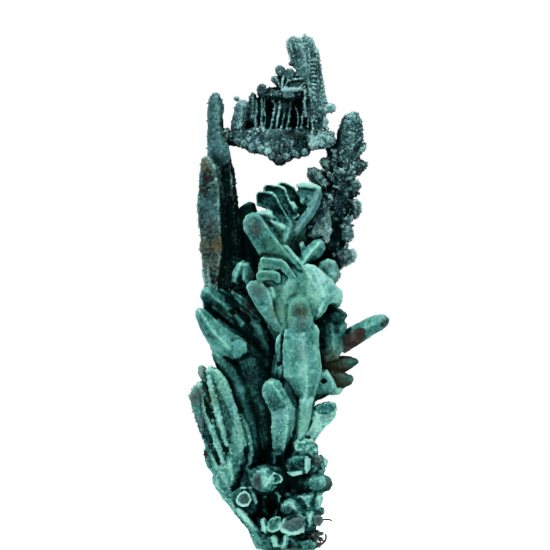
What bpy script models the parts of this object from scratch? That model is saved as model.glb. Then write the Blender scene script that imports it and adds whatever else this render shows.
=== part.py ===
"""A branching group of native copper crystals under a skin of green malachite.

Metres, +Z up. The origin is the middle of the flat sawn foot, the showing side faces -Y and +X is to its
right.
The group is split at its main forks into six solids, which meet with a gap of GAP.
"""

import math
from dataclasses import dataclass

import bmesh
import bpy
from mathutils import Matrix, Vector

MM = 0.001
HEIGHT = 103.0          # from the sawn foot to the peak of the crown, in millimetres as all sizes below
GAP = 0.3               # clear space between two solids that meet at a fork
FOOT_SINK = 3.0         # how far the lowest roots reach below the saw cut before they are cut
MERGE_DISTANCES = (0.001, 0.003, 0.006, 0.009)  # corners closer than this become one, tried in turn
LOZENGE = 0.42          # half width of a crystal's front facet, as a share of its own half width

# Outlines across a crystal's axis, as shares of its half width and half depth.
SECTIONS = {
    6: [(1.0, 0.0), (LOZENGE, 1.0), (-LOZENGE, 1.0), (-1.0, 0.0), (-LOZENGE, -1.0), (LOZENGE, -1.0)],
    4: [(1.0, 0.0), (0.0, 1.0), (-1.0, 0.0), (0.0, -1.0)],
}

# The three planes of depth that the branches grow in, as Y of their middles.
CROWN_Y = 1.2
RIGHT_FROND_Y = 3.0
LEFT_FAN_Y = -0.6


@dataclass(frozen=True)
class Crystal:
    """One blade, six-sided unless small. It widens from its root to a shoulder and ends in a small cut tip.

    root and tip are the ends of its axis, width runs across the view and depth along it. shoulder is where
    along the axis it is widest, point and root_share are the end rings' shares of that, roll turns it about
    its axis in degrees, and skew leans the shoulder and the tip to one side, as a share of the width. A
    crystal of four facets is a plain lozenge in section.
    """

    root: tuple
    tip: tuple
    width: float
    depth: float
    shoulder: float = 0.8
    point: float = 0.4
    root_share: float = 0.8
    roll: float = 0.0
    skew: float = 0.25
    facets: int = 6


def axes_of(crystal):
    """The crystal's own directions: along its axis, across the view, and through its depth."""
    along = (Vector(crystal.tip) - Vector(crystal.root)).normalized()
    view = Vector((0.0, 1.0, 0.0))
    if abs(along.dot(view)) > 0.9:
        view = Vector((0.0, 0.0, 1.0))
    across = along.cross(view).normalized()
    through = across.cross(along).normalized()
    turn = Matrix.Rotation(math.radians(crystal.roll), 3, along)
    return along, turn @ across, turn @ through


def crystal_mesh(crystal, grow=0.0):
    """A closed mesh of the crystal in metres, every side moved outwards by grow millimetres."""
    along, across, through = axes_of(crystal)
    root = Vector(crystal.root) - along * grow
    tip = Vector(crystal.tip) + along * grow
    length = (tip - root).length
    half_width = crystal.width / 2 + grow
    half_depth = crystal.depth / 2 + grow
    section = SECTIONS[crystal.facets]
    rings = [
        (0.0, crystal.root_share, 0.0),
        (crystal.shoulder, 1.0, crystal.skew),
        (1.0, crystal.point, crystal.skew * crystal.point),
    ]
    mesh = bmesh.new()
    loops = []
    for place, share, lean in rings:
        loop = []
        for u, v in section:
            rise = place * length - lean * u * half_width
            corner = root + along * min(rise, length)
            corner += across * (u * share * half_width)
            corner += through * (v * share * half_depth)
            loop.append(mesh.verts.new(corner * MM))
        loops.append(loop)
    for low, high in zip(loops, loops[1:]):
        for i in range(len(section)):
            j = (i + 1) % len(section)
            mesh.faces.new((low[i], low[j], high[j], high[i]))
    mesh.faces.new(loops[0][::-1])
    mesh.faces.new(loops[-1])
    bmesh.ops.recalc_face_normals(mesh, faces=mesh.faces)
    data = bpy.data.meshes.new("crystal")
    mesh.to_mesh(data)
    mesh.free()
    return data


def box_mesh(low, high):
    """A closed box between two corners given in millimetres."""
    mesh = bmesh.new()
    bmesh.ops.create_cube(mesh, size=1.0)
    low, high = Vector(low), Vector(high)
    size = high - low
    for vert in mesh.verts:
        vert.co = (low + Vector((vert.co[i] + 0.5) * size[i] for i in range(3))) * MM
    data = bpy.data.meshes.new("box")
    mesh.to_mesh(data)
    mesh.free()
    return data


def guide_collection(name, meshes):
    """A collection of hidden objects, one for each mesh, for a Boolean to read."""
    collection = bpy.data.collections.new(name)
    bpy.context.scene.collection.children.link(collection)
    for data in meshes:
        guide = bpy.data.objects.new(name, data)
        guide.hide_render = True
        guide.display_type = "WIRE"
        collection.objects.link(guide)
    return collection


def add_boolean(target, operation, collection):
    """Adds an exact Boolean with a collection of guides to the target."""
    modifier = target.modifiers.new(operation.lower(), "BOOLEAN")
    modifier.operation = operation
    modifier.solver = "EXACT"
    modifier.operand_type = "COLLECTION"
    modifier.collection = collection


def islands(mesh):
    """The groups of faces that hang together in a bmesh."""
    left = set(mesh.faces)
    groups = []
    while left:
        group = []
        queue = [left.pop()]
        while queue:
            face = queue.pop()
            group.append(face)
            for edge in face.edges:
                for other in edge.link_faces:
                    if other in left:
                        left.remove(other)
                        queue.append(other)
        groups.append(group)
    return groups


def spread(group):
    """The diagonal of a group of faces."""
    places = [vert.co for face in group for vert in face.verts]
    size = [max(p[i] for p in places) - min(p[i] for p in places) for i in range(3)]
    return Vector(size).length


def outer_shell(data, distance):
    """A triangulated bmesh without loose chips left by a cut or hollows closed in by crystals."""
    mesh = bmesh.new()
    mesh.from_mesh(data)
    bmesh.ops.remove_doubles(mesh, verts=mesh.verts, dist=distance * MM)
    bmesh.ops.dissolve_degenerate(mesh, edges=mesh.edges, dist=distance * MM)
    groups = sorted(islands(mesh), key=spread)
    loose = [face for group in groups[:-1] for face in group]
    bmesh.ops.delete(mesh, geom=loose, context="FACES")
    bmesh.ops.triangulate(mesh, faces=mesh.faces)
    return mesh


def keep_outer_shell(data):
    """Cleans a mesh, with the first merge distance that leaves every edge between just two triangles."""
    for distance in MERGE_DISTANCES:
        mesh = outer_shell(data, distance)
        sound = all(len(edge.link_faces) == 2 for edge in mesh.edges)
        if sound or distance == MERGE_DISTANCES[-1]:
            mesh.to_mesh(data)
        mesh.free()
        if sound:
            return


def patina(name, colour, roughness, metallic):
    """A plain Principled material."""
    material = bpy.data.materials.new(name)
    material.use_nodes = True
    shader = material.node_tree.nodes["Principled BSDF"]
    shader.inputs["Base Color"].default_value = (*colour, 1.0)
    shader.inputs["Roughness"].default_value = roughness
    shader.inputs["Metallic"].default_value = metallic
    return material


def grown_solid(name, material, crystals, neighbours=(), cutters=()):
    """One closed solid: the crystals fused, less the neighbours grown by GAP and less the cutters."""
    body = bpy.data.objects.new(name + ".raw", crystal_mesh(crystals[0]))
    bpy.context.scene.collection.objects.link(body)
    rest = guide_collection(name + ".crystals", [crystal_mesh(c) for c in crystals[1:]])
    add_boolean(body, "UNION", rest)
    away = [crystal_mesh(c, GAP) for c in neighbours] + list(cutters)
    collections = [rest]
    if away:
        cut = guide_collection(name + ".away", away)
        add_boolean(body, "DIFFERENCE", cut)
        collections.append(cut)
    graph = bpy.context.evaluated_depsgraph_get()
    data = bpy.data.meshes.new_from_object(body.evaluated_get(graph))
    bpy.data.objects.remove(body)
    for collection in collections:
        for guide in list(collection.objects):
            bpy.data.objects.remove(guide)
        bpy.data.collections.remove(collection)
    keep_outer_shell(data)
    data.name = name
    data.materials.clear()
    data.materials.append(material)
    solid = bpy.data.objects.new(name, data)
    bpy.context.scene.collection.objects.link(solid)
    return solid


def along_line(start, end, share):
    """The point at a share of the way from start to end."""
    return tuple(a + (b - a) * share for a, b in zip(start, end))


def shifted(point, dx=0.0, dy=0.0, dz=0.0):
    """A point moved by the given millimetres."""
    return (point[0] + dx, point[1] + dy, point[2] + dz)


# ---------------------------------------------------------------- root cluster

STUBS = [
    # middle of the end face, width, height, how far the end stands towards -Y
    ((-4.6, 14.4), 5.8, 5.0, 9.6),
    ((-8.2, 10.6), 4.6, 4.0, 8.0),
    ((0.9, 8.8), 3.8, 3.2, 9.0),
    ((-4.1, 5.4), 1.7, 2.6, 8.0),
    ((-1.9, 6.0), 2.2, 2.4, 8.6),
    ((1.3, 5.6), 5.0, 3.0, 8.2),
    ((0.2, 2.4), 3.8, 2.8, 7.6),
    ((2.6, 17.2), 4.4, 3.8, 9.2),
    ((5.2, 9.8), 5.2, 2.8, 7.8),
    ((5.8, 6.4), 3.4, 2.8, 8.4),
    ((-5.6, 2.6), 3.0, 2.4, 6.6),
]


def root_core():
    """The massive copper that the cluster grows from, down through the saw cut."""
    return [
        Crystal((0.6, 0.2, -FOOT_SINK), (-0.6, 0.8, 25.0), 11.6, 12.6, 0.5, 0.6, 0.92, skew=0.1),
        Crystal((-0.6, 0.6, -FOOT_SINK), (-9.8, 1.0, 19.0), 8.0, 9.4, 0.6, 0.6, 0.9),
        Crystal((2.6, 0.2, -FOOT_SINK), (4.6, 0.2, 20.6), 6.8, 9.6, 0.6, 0.6, 0.9),
        Crystal((0.4, 2.8, -FOOT_SINK), (-2.2, 4.2, 22.0), 9.6, 6.6, 0.6, 0.5, 0.9),
    ]


def root_stubs():
    """The short crystals that point at the viewer out of the core."""
    return [
        Crystal((x * 0.8, -1.5, z), (x, -reach, z), width, height, 0.75, 0.72, 0.8, roll=25 * i, skew=0.05)
        for i, ((x, z), width, height, reach) in enumerate(STUBS)
    ]


def root_flanks():
    """Crystals that leave the core sideways and backwards, and the knobs of the rough crust."""
    return [
        Crystal((1.0, -3.0, 12.6), (9.1, -5.4, 13.6), 4.2, 4.2, 0.7, 0.7, 0.9),
        Crystal((3.0, -2.0, 19.0), (5.0, -5.6, 21.6), 4.4, 3.6, 0.6, 0.6),
        Crystal((3.6, -2.0, 16.0), (8.0, -4.2, 18.0), 3.6, 3.6, 0.6, 0.6),
        Crystal((3.0, 1.0, 14.0), (7.6, 3.4, 16.0), 4.0, 3.8, 0.6, 0.5, facets=4),
        Crystal((3.0, -1.0, 8.0), (7.6, -3.0, 7.8), 2.8, 2.4, 0.6, 0.6, facets=4),
        Crystal((2.0, -1.0, 2.4), (6.8, -2.0, 3.4), 3.0, 3.0, 0.6, 0.5, facets=4),
        Crystal((0.0, 3.0, 6.0), (2.0, 8.6, 8.6), 4.4, 3.8, 0.6, 0.5, facets=4),
        Crystal((-1.0, 3.0, 12.0), (-4.6, 9.4, 14.6), 4.8, 4.2, 0.6, 0.5),
        Crystal((3.0, 2.0, 12.0), (5.6, 7.6, 13.6), 4.0, 3.6, 0.6, 0.5, facets=4),
        Crystal((-4.0, 2.0, 6.0), (-8.6, 5.6, 7.4), 4.0, 3.6, 0.6, 0.5, facets=4),
        Crystal((-1.0, 3.0, 2.0), (-2.6, 7.4, 2.6), 4.6, 3.4, 0.6, 0.6, facets=4),
        Crystal((0.0, 3.0, 18.0), (3.6, 8.2, 21.6), 4.6, 4.0, 0.6, 0.5),
    ]


def root_wires():
    """Thin bent wires of copper at the lower right, each a chain of short slivers."""
    routes = [
        [(4.6, -2.0, 2.8), (8.0, -2.6, 3.4), (7.8, -3.0, 2.1), (6.7, -3.2, 1.0), (5.0, -3.0, 0.2)],
        [(4.8, -3.4, 6.6), (7.8, -4.2, 6.6), (9.2, -4.6, 6.2)],
    ]
    thickness = 0.55
    return [
        Crystal(start, end, thickness, thickness, 0.5, 0.9, 0.9, skew=0.0)
        for route in routes
        for start, end in zip(route, route[1:])
    ]


def lower_front():
    """The club-shaped crystal and its broken neighbour that stand in front of the stem."""
    return [
        Crystal((-0.5, -4.6, 17.0), (-2.5, -8.2, 34.4), 4.9, 4.6, 0.8, 0.4, 0.72, skew=0.3),
        Crystal((0.8, -4.4, 17.0), (0.3, -7.0, 30.6), 3.0, 3.6, 0.8, 0.4),
        Crystal((3.0, -3.0, 19.4), (8.6, -6.6, 29.6), 5.4, 4.4, 0.75, 0.75, 0.55, skew=-0.3),
        Crystal((1.6, -2.4, 17.0), (3.8, -5.4, 24.6), 3.4, 3.8, 0.7, 0.6),
    ]


def root_pits():
    """The deep hole between the stubs and the hollow end of one of them, as shapes to cut away."""
    return [
        Crystal((-3.0, -12.0, 8.7), (-2.6, -1.8, 8.9), 4.0, 4.6, 0.4, 0.5, 0.9, skew=0.0),
        Crystal((-8.3, -10.0, 10.7), (-7.9, -6.2, 10.7), 2.2, 2.2, 0.4, 0.5, 0.9, skew=0.0),
    ]


# ---------------------------------------------------------------- left fan

def left_fan():
    """Long blades that open like a hand to the upper left from one root."""
    y = LEFT_FAN_Y
    root = (-8.8, y, 11.0)
    blades = [
        # tip, width, depth, how far its root stands from the common one in X and Z
        ((-14.9, y - 3.6, 36.3), 3.1, 3.2, 0.2, 0.0),
        ((-12.7, y - 2.8, 35.9), 3.0, 3.0, 2.4, 1.0),
        ((-18.4, y - 3.0, 31.3), 3.2, 2.8, 0.2, 0.0),
        ((-17.2, y - 1.4, 33.7), 2.6, 2.4, 0.6, 1.0),
        ((-16.7, y - 1.8, 36.8), 2.2, 1.8, 0.4, 1.0),
        ((-16.2, y + 0.4, 24.4), 2.9, 2.6, -0.4, -1.2),
        ((-15.9, y + 0.2, 19.0), 2.7, 2.4, 0.0, -2.6),
        ((-14.2, y + 0.6, 14.6), 2.8, 2.4, 1.0, -5.0),
        ((-13.0, y - 3.4, 27.0), 3.2, 2.6, 1.8, 0.0),
        ((-8.9, y + 2.4, 27.4), 2.6, 2.6, 4.0, 2.6),
        ((-6.9, y + 2.8, 25.8), 2.4, 2.6, 5.4, 2.6),
        ((-14.4, y + 3.6, 32.0), 3.2, 2.8, 2.0, 1.6),
        ((-12.0, y + 4.8, 27.0), 3.2, 2.8, 3.0, 1.4),
        ((-9.9, y - 1.6, 31.4), 3.0, 2.8, 4.2, 2.4),
    ]
    return [
        Crystal(shifted(root, dx, 0.0, dz), tip, width, depth, 0.86, 0.5, 0.9, roll=8.0 * (i % 3 - 1))
        for i, (tip, width, depth, dx, dz) in enumerate(blades)
    ]


# ---------------------------------------------------------------- stem and heart

def stem_core():
    """The stem that the middle crystals and the right-hand ones grow from."""
    return [
        Crystal((0.4, 1.6, 14.0), (-1.2, 1.8, 52.0), 11.0, 8.6, 0.6, 0.7, 0.7, skew=0.0),
        Crystal((-1.6, 1.8, 40.0), (0.6, 1.6, 69.0), 12.4, 7.6, 0.5, 0.6, 0.8, skew=0.0),
        Crystal((-3.0, 1.4, 30.0), (-9.0, 1.4, 56.0), 8.0, 7.0, 0.7, 0.7),
        Crystal((2.0, 1.0, 26.0), (7.4, 1.0, 50.0), 8.0, 7.4, 0.7, 0.6),
        Crystal((-6.0, 2.4, 50.0), (-7.6, 3.4, 69.2), 4.8, 3.6, 0.8, 0.8),
    ]


def left_flank():
    """Blunt crystals on the left of the stem, the largest one leaning well out."""
    return [
        Crystal((-6.0, -1.4, 42.0), (-16.9, -2.2, 51.0), 3.7, 3.2, 0.85, 0.4),
        Crystal((-6.0, -2.4, 35.8), (-17.4, -4.2, 47.8), 5.2, 3.8, 0.85, 0.35, 0.9),
        Crystal((-5.0, -1.2, 31.2), (-14.8, -2.6, 41.6), 3.4, 3.2, 0.85, 0.5, 0.9),
        Crystal((-4.0, -1.0, 29.6), (-11.4, -1.8, 38.0), 3.0, 3.0, 0.8, 0.4, 0.9),
        Crystal((-4.0, -1.0, 54.0), (-10.9, -2.8, 57.6), 3.2, 3.0, 0.75, 0.6),
        Crystal((-6.0, -0.6, 47.0), (-14.8, -1.4, 52.6), 3.4, 3.0, 0.75, 0.5),
        Crystal((-3.6, -1.0, 26.0), (-12.6, -1.4, 38.6), 3.4, 3.0, 0.85, 0.5, 0.9),
        Crystal((-3.2, -1.0, 21.0), (-10.4, -1.0, 33.6), 3.4, 3.0, 0.85, 0.5, 0.9),
        Crystal((-4.4, -1.6, 46.0), (-10.6, -3.2, 51.4), 3.2, 3.0, 0.75, 0.5),
    ]


def stepped_plates():
    """Three parallel plates that climb to the upper left, with the spine that they leave from."""
    return [
        Crystal((3.0, -3.0, 61.4), (-6.0, -4.4, 70.2), 3.4, 5.0, 0.9, 0.85, 0.9, skew=-0.3),
        Crystal((4.6, -2.0, 63.0), (-3.9, -3.2, 72.6), 3.0, 5.0, 0.9, 0.85, 0.9, skew=-0.3),
        Crystal((5.8, -1.0, 65.0), (-0.4, -2.0, 73.9), 3.0, 4.6, 0.9, 0.85, 0.9, skew=-0.3),
        Crystal((-0.4, -3.4, 58.0), (6.4, -2.4, 73.4), 3.4, 4.4, 0.85, 0.7, 0.8, skew=0.3),
        Crystal((2.0, -1.2, 60.0), (3.8, -0.8, 72.8), 5.0, 3.6, 0.9, 0.8),
        Crystal((2.4, 1.0, 60.0), (-2.4, 2.0, 71.0), 4.4, 4.0, 0.8, 0.6),
        Crystal((3.4, 2.0, 58.0), (5.0, 2.6, 69.6), 4.0, 3.6, 0.8, 0.6),
    ]


def heart():
    """The pale crystals in the middle, where all the branches meet."""
    return [
        Crystal((3.6, -4.0, 52.6), (-7.2, -6.4, 66.8), 4.6, 4.0, 0.85, 0.5, 0.9),
        Crystal((3.4, -4.6, 52.0), (-5.0, -6.2, 57.8), 2.5, 3.8, 0.8, 0.6),
        Crystal((1.8, -3.7, 49.8), (-5.8, -6.0, 55.2), 2.6, 3.8, 0.8, 0.6),
        Crystal((0.0, -2.4, 40.6), (-5.2, -5.2, 53.8), 5.2, 3.6, 0.85, 0.6, 0.6),
        Crystal((1.4, -2.4, 55.0), (7.9, -3.6, 60.9), 3.4, 3.2, 0.75, 0.5),
        Crystal((4.6, -1.0, 53.4), (10.2, -2.6, 57.0), 4.4, 3.6, 0.7, 0.65),
        Crystal((2.8, -1.4, 42.0), (5.0, -3.4, 56.0), 6.4, 3.8, 0.7, 0.4, 0.7),
        Crystal((4.4, -0.6, 45.8), (11.2, -2.0, 51.2), 4.4, 3.4, 0.8, 0.5),
        Crystal((4.4, 0.0, 44.4), (12.0, -0.6, 47.0), 2.8, 2.8, 0.7, 0.6),
        Crystal((4.0, -1.0, 49.4), (9.8, -1.7, 54.2), 3.4, 3.0, 0.7, 0.6),
        Crystal((0.0, -2.0, 58.0), (-5.0, -3.6, 63.0), 3.4, 3.4, 0.7, 0.5),
        Crystal((3.4, 2.0, 50.0), (8.6, 5.0, 55.0), 4.0, 3.6, 0.7, 0.5, facets=4),
        Crystal((-3.0, 2.6, 48.0), (-6.4, 6.6, 55.0), 4.6, 3.8, 0.7, 0.5, facets=4),
    ]


def middle_blade():
    """The tall rounded blade in the centre of the front, and the stalk that it stands on."""
    return [
        Crystal((2.8, -3.2, 30.0), (3.0, -7.2, 50.3), 4.6, 4.2, 0.85, 0.5, 0.9, skew=0.1),
        Crystal((3.2, -2.4, 28.4), (3.5, -5.6, 44.4), 7.4, 4.6, 0.7, 0.55, 0.8, skew=0.1),
        Crystal((1.6, -2.0, 16.0), (4.4, -5.4, 35.0), 2.6, 3.4, 0.7, 0.6, 0.9),
        Crystal((-1.4, -1.6, 20.0), (-1.2, -4.8, 40.0), 3.8, 3.4, 0.8, 0.4),
        Crystal((-4.0, -1.0, 20.0), (-6.2, -3.2, 39.0), 3.6, 3.4, 0.8, 0.4),
    ]


def right_flank():
    """The long crystal that leans out to the right, the dark one behind it and the low olive ones."""
    return [
        Crystal((5.0, -0.6, 38.8), (20.6, -4.6, 45.8), 4.2, 3.8, 0.9, 0.62, 1.0, skew=-0.15),
        Crystal((4.6, 0.2, 32.0), (10.6, -2.0, 48.2), 6.6, 5.2, 0.65, 0.5, 0.9),
        Crystal((4.4, 0.4, 34.0), (14.4, -1.4, 37.6), 3.2, 2.9, 0.75, 0.5),
        Crystal((4.0, 0.4, 29.6), (13.7, -0.8, 34.4), 2.9, 2.9, 0.75, 0.5),
        Crystal((3.6, 0.0, 30.6), (10.8, -0.8, 33.0), 1.8, 2.6, 0.75, 0.5, facets=4),
        Crystal((3.4, -2.0, 29.4), (8.7, -4.6, 34.8), 3.8, 3.2, 0.7, 0.7),
        Crystal((3.4, 2.0, 32.0), (9.0, 5.6, 39.0), 4.4, 3.6, 0.7, 0.5),
    ]


def back_of_stem():
    """Blades that climb the far side of the stem, leaning out to the left and right by turns."""
    count = 5
    blades = []
    for i in range(count):
        side = 1.0 if i % 2 else -1.0
        z = 25.4 + 7.5 * i
        root = (side * 0.6, 2.6, z)
        tip = (side * (3.0 + 0.5 * math.sin(1.3 * i)), 6.6 - 0.3 * i, z + 10.6)
        blades.append(Crystal(root, tip, 4.6, 3.6, 0.75, 0.45, 0.8, roll=12.0 * side, skew=0.3 * side))
    return blades


def stem_pits():
    """The lozenge-shaped hollow at the right of the middle blade."""
    return [Crystal((8.0, -7.0, 33.6), (7.2, -3.0, 33.4), 2.2, 2.4, 0.4, 0.6, 0.9, skew=0.0, facets=4)]


# ---------------------------------------------------------------- left spire

def left_spire():
    """The tall column on the left: a slender spire behind, a stout mottled crystal in front."""
    return [
        Crystal((-13.2, -0.2, 60.0), (-14.1, 0.6, 91.5), 3.7, 3.2, 0.82, 0.5, 0.94, skew=0.15),
        Crystal((-14.2, -2.0, 49.0), (-15.4, -2.8, 78.6), 5.3, 4.4, 0.6, 0.35, 0.78, skew=-0.2),
        Crystal((-10.0, 0.4, 56.0), (-12.5, 1.2, 80.6), 3.0, 3.0, 0.7, 0.4, 0.9, skew=0.3),
        Crystal((-11.8, -1.2, 52.0), (-13.0, -1.8, 73.0), 3.6, 3.6, 0.7, 0.5, 0.9),
        Crystal((-9.8, 0.6, 56.0), (-10.6, 0.8, 71.0), 3.0, 2.6, 0.7, 0.5, 0.9),
        Crystal((-12.8, 1.4, 54.0), (-15.0, 3.6, 74.0), 3.8, 3.4, 0.7, 0.4, 0.9),
        Crystal((-11.6, 2.0, 53.0), (-11.8, 4.2, 66.0), 3.4, 3.4, 0.7, 0.4, 0.9),
        Crystal((-12.6, 0.4, 79.4), (-11.6, 1.0, 84.0), 2.4, 2.6, 0.5, 0.6),
    ]


# ---------------------------------------------------------------- crown frond

CROWN_LEFT, CROWN_RIGHT = -9.8, 9.4     # both ends of the band that carries the crown
RIB_TOP = 90.4                          # height that the crown's upright ribs reach


def crown_lower_edge(x):
    """Height of the crown's lower edge, lowest near the middle and rising to both ends."""
    slope = 0.44 if x < -1.0 else 0.38
    return 76.8 + slope * abs(x + 1.0)


def crown_band():
    """The plate that carries the crown, and the thin web behind its ribs."""
    y = CROWN_Y
    return [
        Crystal((CROWN_LEFT, y, 82.2), (CROWN_RIGHT, y + 0.4, 82.0), 4.4, 3.0, 0.5, 0.6, 0.6, skew=0.0),
        Crystal((-3.4, y + 0.9, 78.6), (-1.0, y + 0.9, 90.6), 10.0, 1.5, 0.5, 0.9, 0.8, skew=0.0),
        Crystal((2.6, y + 0.9, 80.0), (4.4, y + 0.9, 92.0), 9.0, 1.5, 0.5, 0.8, 0.8, skew=0.0),
        Crystal((-5.6, y, 90.8), (4.0, y, 91.4), 1.8, 3.2, 0.5, 0.8, 0.8, skew=0.0),
    ]


def crown_ribs():
    """Upright ribs side by side on the front of the web, and fewer, broader ones behind it."""
    ribs = []
    for count, y, pitch, width in ((9, CROWN_Y - 1.1, 1.45, 0.9), (4, CROWN_Y + 1.9, 3.4, 1.6)):
        for i in range(count):
            x = -5.9 + i * pitch
            top = RIB_TOP - 0.5 * (i % 2)
            lean = 0.25 * math.sin(2.1 * i)
            low, high = (x + lean, y, 82.0), (x - lean, y, top)
            ribs.append(Crystal(low, high, width, 1.9, 0.7, 0.6, 0.9, skew=0.0, facets=4))
    return ribs


def crown_fringe():
    """Short lobes that hang from the band as a scalloped edge."""
    count = 10
    lobes = []
    for i in range(count):
        x = CROWN_LEFT + 0.7 + i * (CROWN_RIGHT - CROWN_LEFT - 1.4) / (count - 1)
        root = (x + 0.5, CROWN_Y, 83.4)
        tip = (x, CROWN_Y - 0.3 + 0.5 * (i % 2), crown_lower_edge(x))
        lobes.append(Crystal(root, tip, 2.4, 3.0, 0.75, 0.5, 0.7, skew=0.3 - 0.6 * (i % 2), facets=4))
    return lobes


def crown_mast():
    """The notched mast that rises from the right half, with beads down its right edge."""
    y = CROWN_Y
    mast = [
        Crystal((6.6, y, 82.0), (3.5, y, 102.6), 5.4, 2.8, 0.88, 0.8, 0.8, skew=0.05),
        Crystal((5.2, y - 1.3, 88.0), (4.4, y - 1.3, 100.8), 1.1, 1.8, 0.8, 0.5, 0.9, skew=0.0),
        Crystal((5.2, y + 1.3, 88.0), (4.4, y + 1.3, 100.4), 1.1, 1.8, 0.8, 0.5, 0.9, skew=0.0),
        Crystal((2.4, y, 96.4), (1.1, y, 102.3), 3.4, 2.6, 0.85, 0.75),
        Crystal((3.4, y, 98.0), (3.8, y, HEIGHT), 2.2, 2.4, 0.7, 0.3),
    ]
    beads = 6
    edge_top, edge_low = (6.3, y, 99.8), (8.6, y, 89.4)
    for i in range(beads):
        place = along_line(edge_top, edge_low, i / (beads - 1))
        root, tip = shifted(place, -2.0, 0.0, -0.6), shifted(place, 0.5, 0.0, 0.3)
        mast.append(Crystal(root, tip, 1.5, 2.1, 0.6, 0.5, facets=4))
    return mast


def crown_lobes():
    """The small leaves and knobs left of the mast and at both ends of the crown."""
    y = CROWN_Y
    return [
        Crystal((4.2, y, 94.0), (-1.2, y - 0.3, 96.8), 2.8, 2.0, 0.6, 0.5, facets=4),
        Crystal((4.2, y, 92.2), (-2.7, y + 0.2, 94.4), 2.4, 1.8, 0.6, 0.5, facets=4),
        Crystal((2.0, y, 91.0), (0.9, y - 0.6, 96.4), 2.4, 1.8, 0.7, 0.6),
        Crystal((4.4, y - 0.6, 93.4), (1.3, y - 1.2, 93.6), 1.5, 1.6, 0.6, 0.5, facets=4),
        Crystal((4.0, y, 97.6), (0.9, y, 97.0), 1.6, 1.8, 0.6, 0.5, facets=4),
        Crystal((-3.4, y, 90.8), (-4.8, y - 0.8, 93.2), 2.0, 1.8, 0.6, 0.6, facets=4),
        Crystal((3.0, y, 91.6), (-2.9, y, 92.3), 2.0, 1.8, 0.6, 0.6, facets=4),
        Crystal((-7.0, y, 82.0), (-6.5, y, 91.3), 2.6, 2.4, 0.75, 0.4, 0.9),
        Crystal((-9.0, y, 80.6), (-8.6, y, 89.9), 3.8, 2.6, 0.75, 0.3, 0.8),
        Crystal((-9.0, y, 87.0), (-9.8, y, 90.6), 1.5, 1.4, 0.5, 0.6, facets=4),
        Crystal((6.0, y, 85.6), (10.2, y - 0.2, 88.6), 2.6, 2.2, 0.6, 0.5, facets=4),
        Crystal((5.6, y, 83.0), (8.8, y + 0.4, 86.4), 2.4, 2.2, 0.6, 0.4, facets=4),
        Crystal((6.0, y, 82.0), (10.1, y, 81.8), 3.0, 2.4, 0.6, 0.4),
        Crystal((-7.6, y - 0.4, 82.0), (-11.7, y - 0.6, 81.8), 3.2, 2.8, 0.6, 0.7),
    ]


# ---------------------------------------------------------------- right frond

FROND_FOOT = (8.6, RIGHT_FROND_Y, 54.0)
FROND_HEAD = (13.8, RIGHT_FROND_Y, 87.0)


def frond_spine():
    """The flat blade that runs the length of the right frond, with a ridge on each side."""
    y = RIGHT_FROND_Y
    blade = [
        Crystal(FROND_FOOT, (13.2, y, 81.0), 6.6, 2.6, 0.6, 0.6, 0.8, skew=0.0),
        Crystal((12.0, y, 70.0), FROND_HEAD, 5.8, 2.4, 0.8, 0.5, 0.7, skew=0.1),
        Crystal((7.0, y, 55.0), (10.2, y, 80.0), 4.4, 2.0, 0.6, 0.6, 0.8, skew=0.0),
    ]
    for side in (-1.0, 1.0):
        low, high = shifted(FROND_FOOT, 0.2, side, 3.0), (13.0, y + 1.2 * side, 82.0)
        blade.append(Crystal(low, high, 1.2, 1.8, 0.6, 0.4, skew=0.0, facets=4))
    return blade


def frond_end_lobes():
    """The few lobes of the right frond that stand out furthest."""
    y = RIGHT_FROND_Y
    return [
        Crystal((9.6, y, 57.2), (14.6, y - 0.6, 59.0), 3.6, 2.6, 0.6, 0.4),
        Crystal((10.4, y, 73.8), (4.4, y - 0.4, 75.5), 3.2, 2.4, 0.5, 0.3),
        Crystal((12.0, y, 74.4), (16.8, y, 77.2), 2.8, 2.2, 0.5, 0.2),
        Crystal((11.6, y, 77.6), (8.0, y - 0.4, 80.2), 2.6, 2.2, 0.6, 0.4),
        Crystal((11.0, y, 75.6), (6.9, y + 0.4, 77.8), 2.8, 2.2, 0.6, 0.4),
    ]


def frond_lobes():
    """Lobes in pairs up both edges of the spine, shorter towards the head."""
    pairs = 7
    lobes = []
    for i in range(pairs):
        share = 0.14 + 0.5 * i / (pairs - 1)
        root = along_line(FROND_FOOT, FROND_HEAD, share)
        wave = 0.3 * math.sin(2.4 * i)
        bulge = 3.0 + 1.3 * math.sin(math.pi * i / (pairs - 1))
        for side, reach in ((-1.0, 3.9), (1.0, bulge + 0.3)):
            tip = shifted(root, side * (reach + wave), 0.5 * math.sin(1.7 * i + side), 2.2 + 0.5 * side)
            lobes.append(Crystal(root, tip, 3.1, 2.3, 0.7, 0.4, 0.8, skew=0.3 * side, facets=4))
    return lobes


# ---------------------------------------------------------------- the whole group

def clear_scene():
    """Removes whatever the scene holds."""
    for item in list(bpy.data.objects):
        bpy.data.objects.remove(item)


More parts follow.
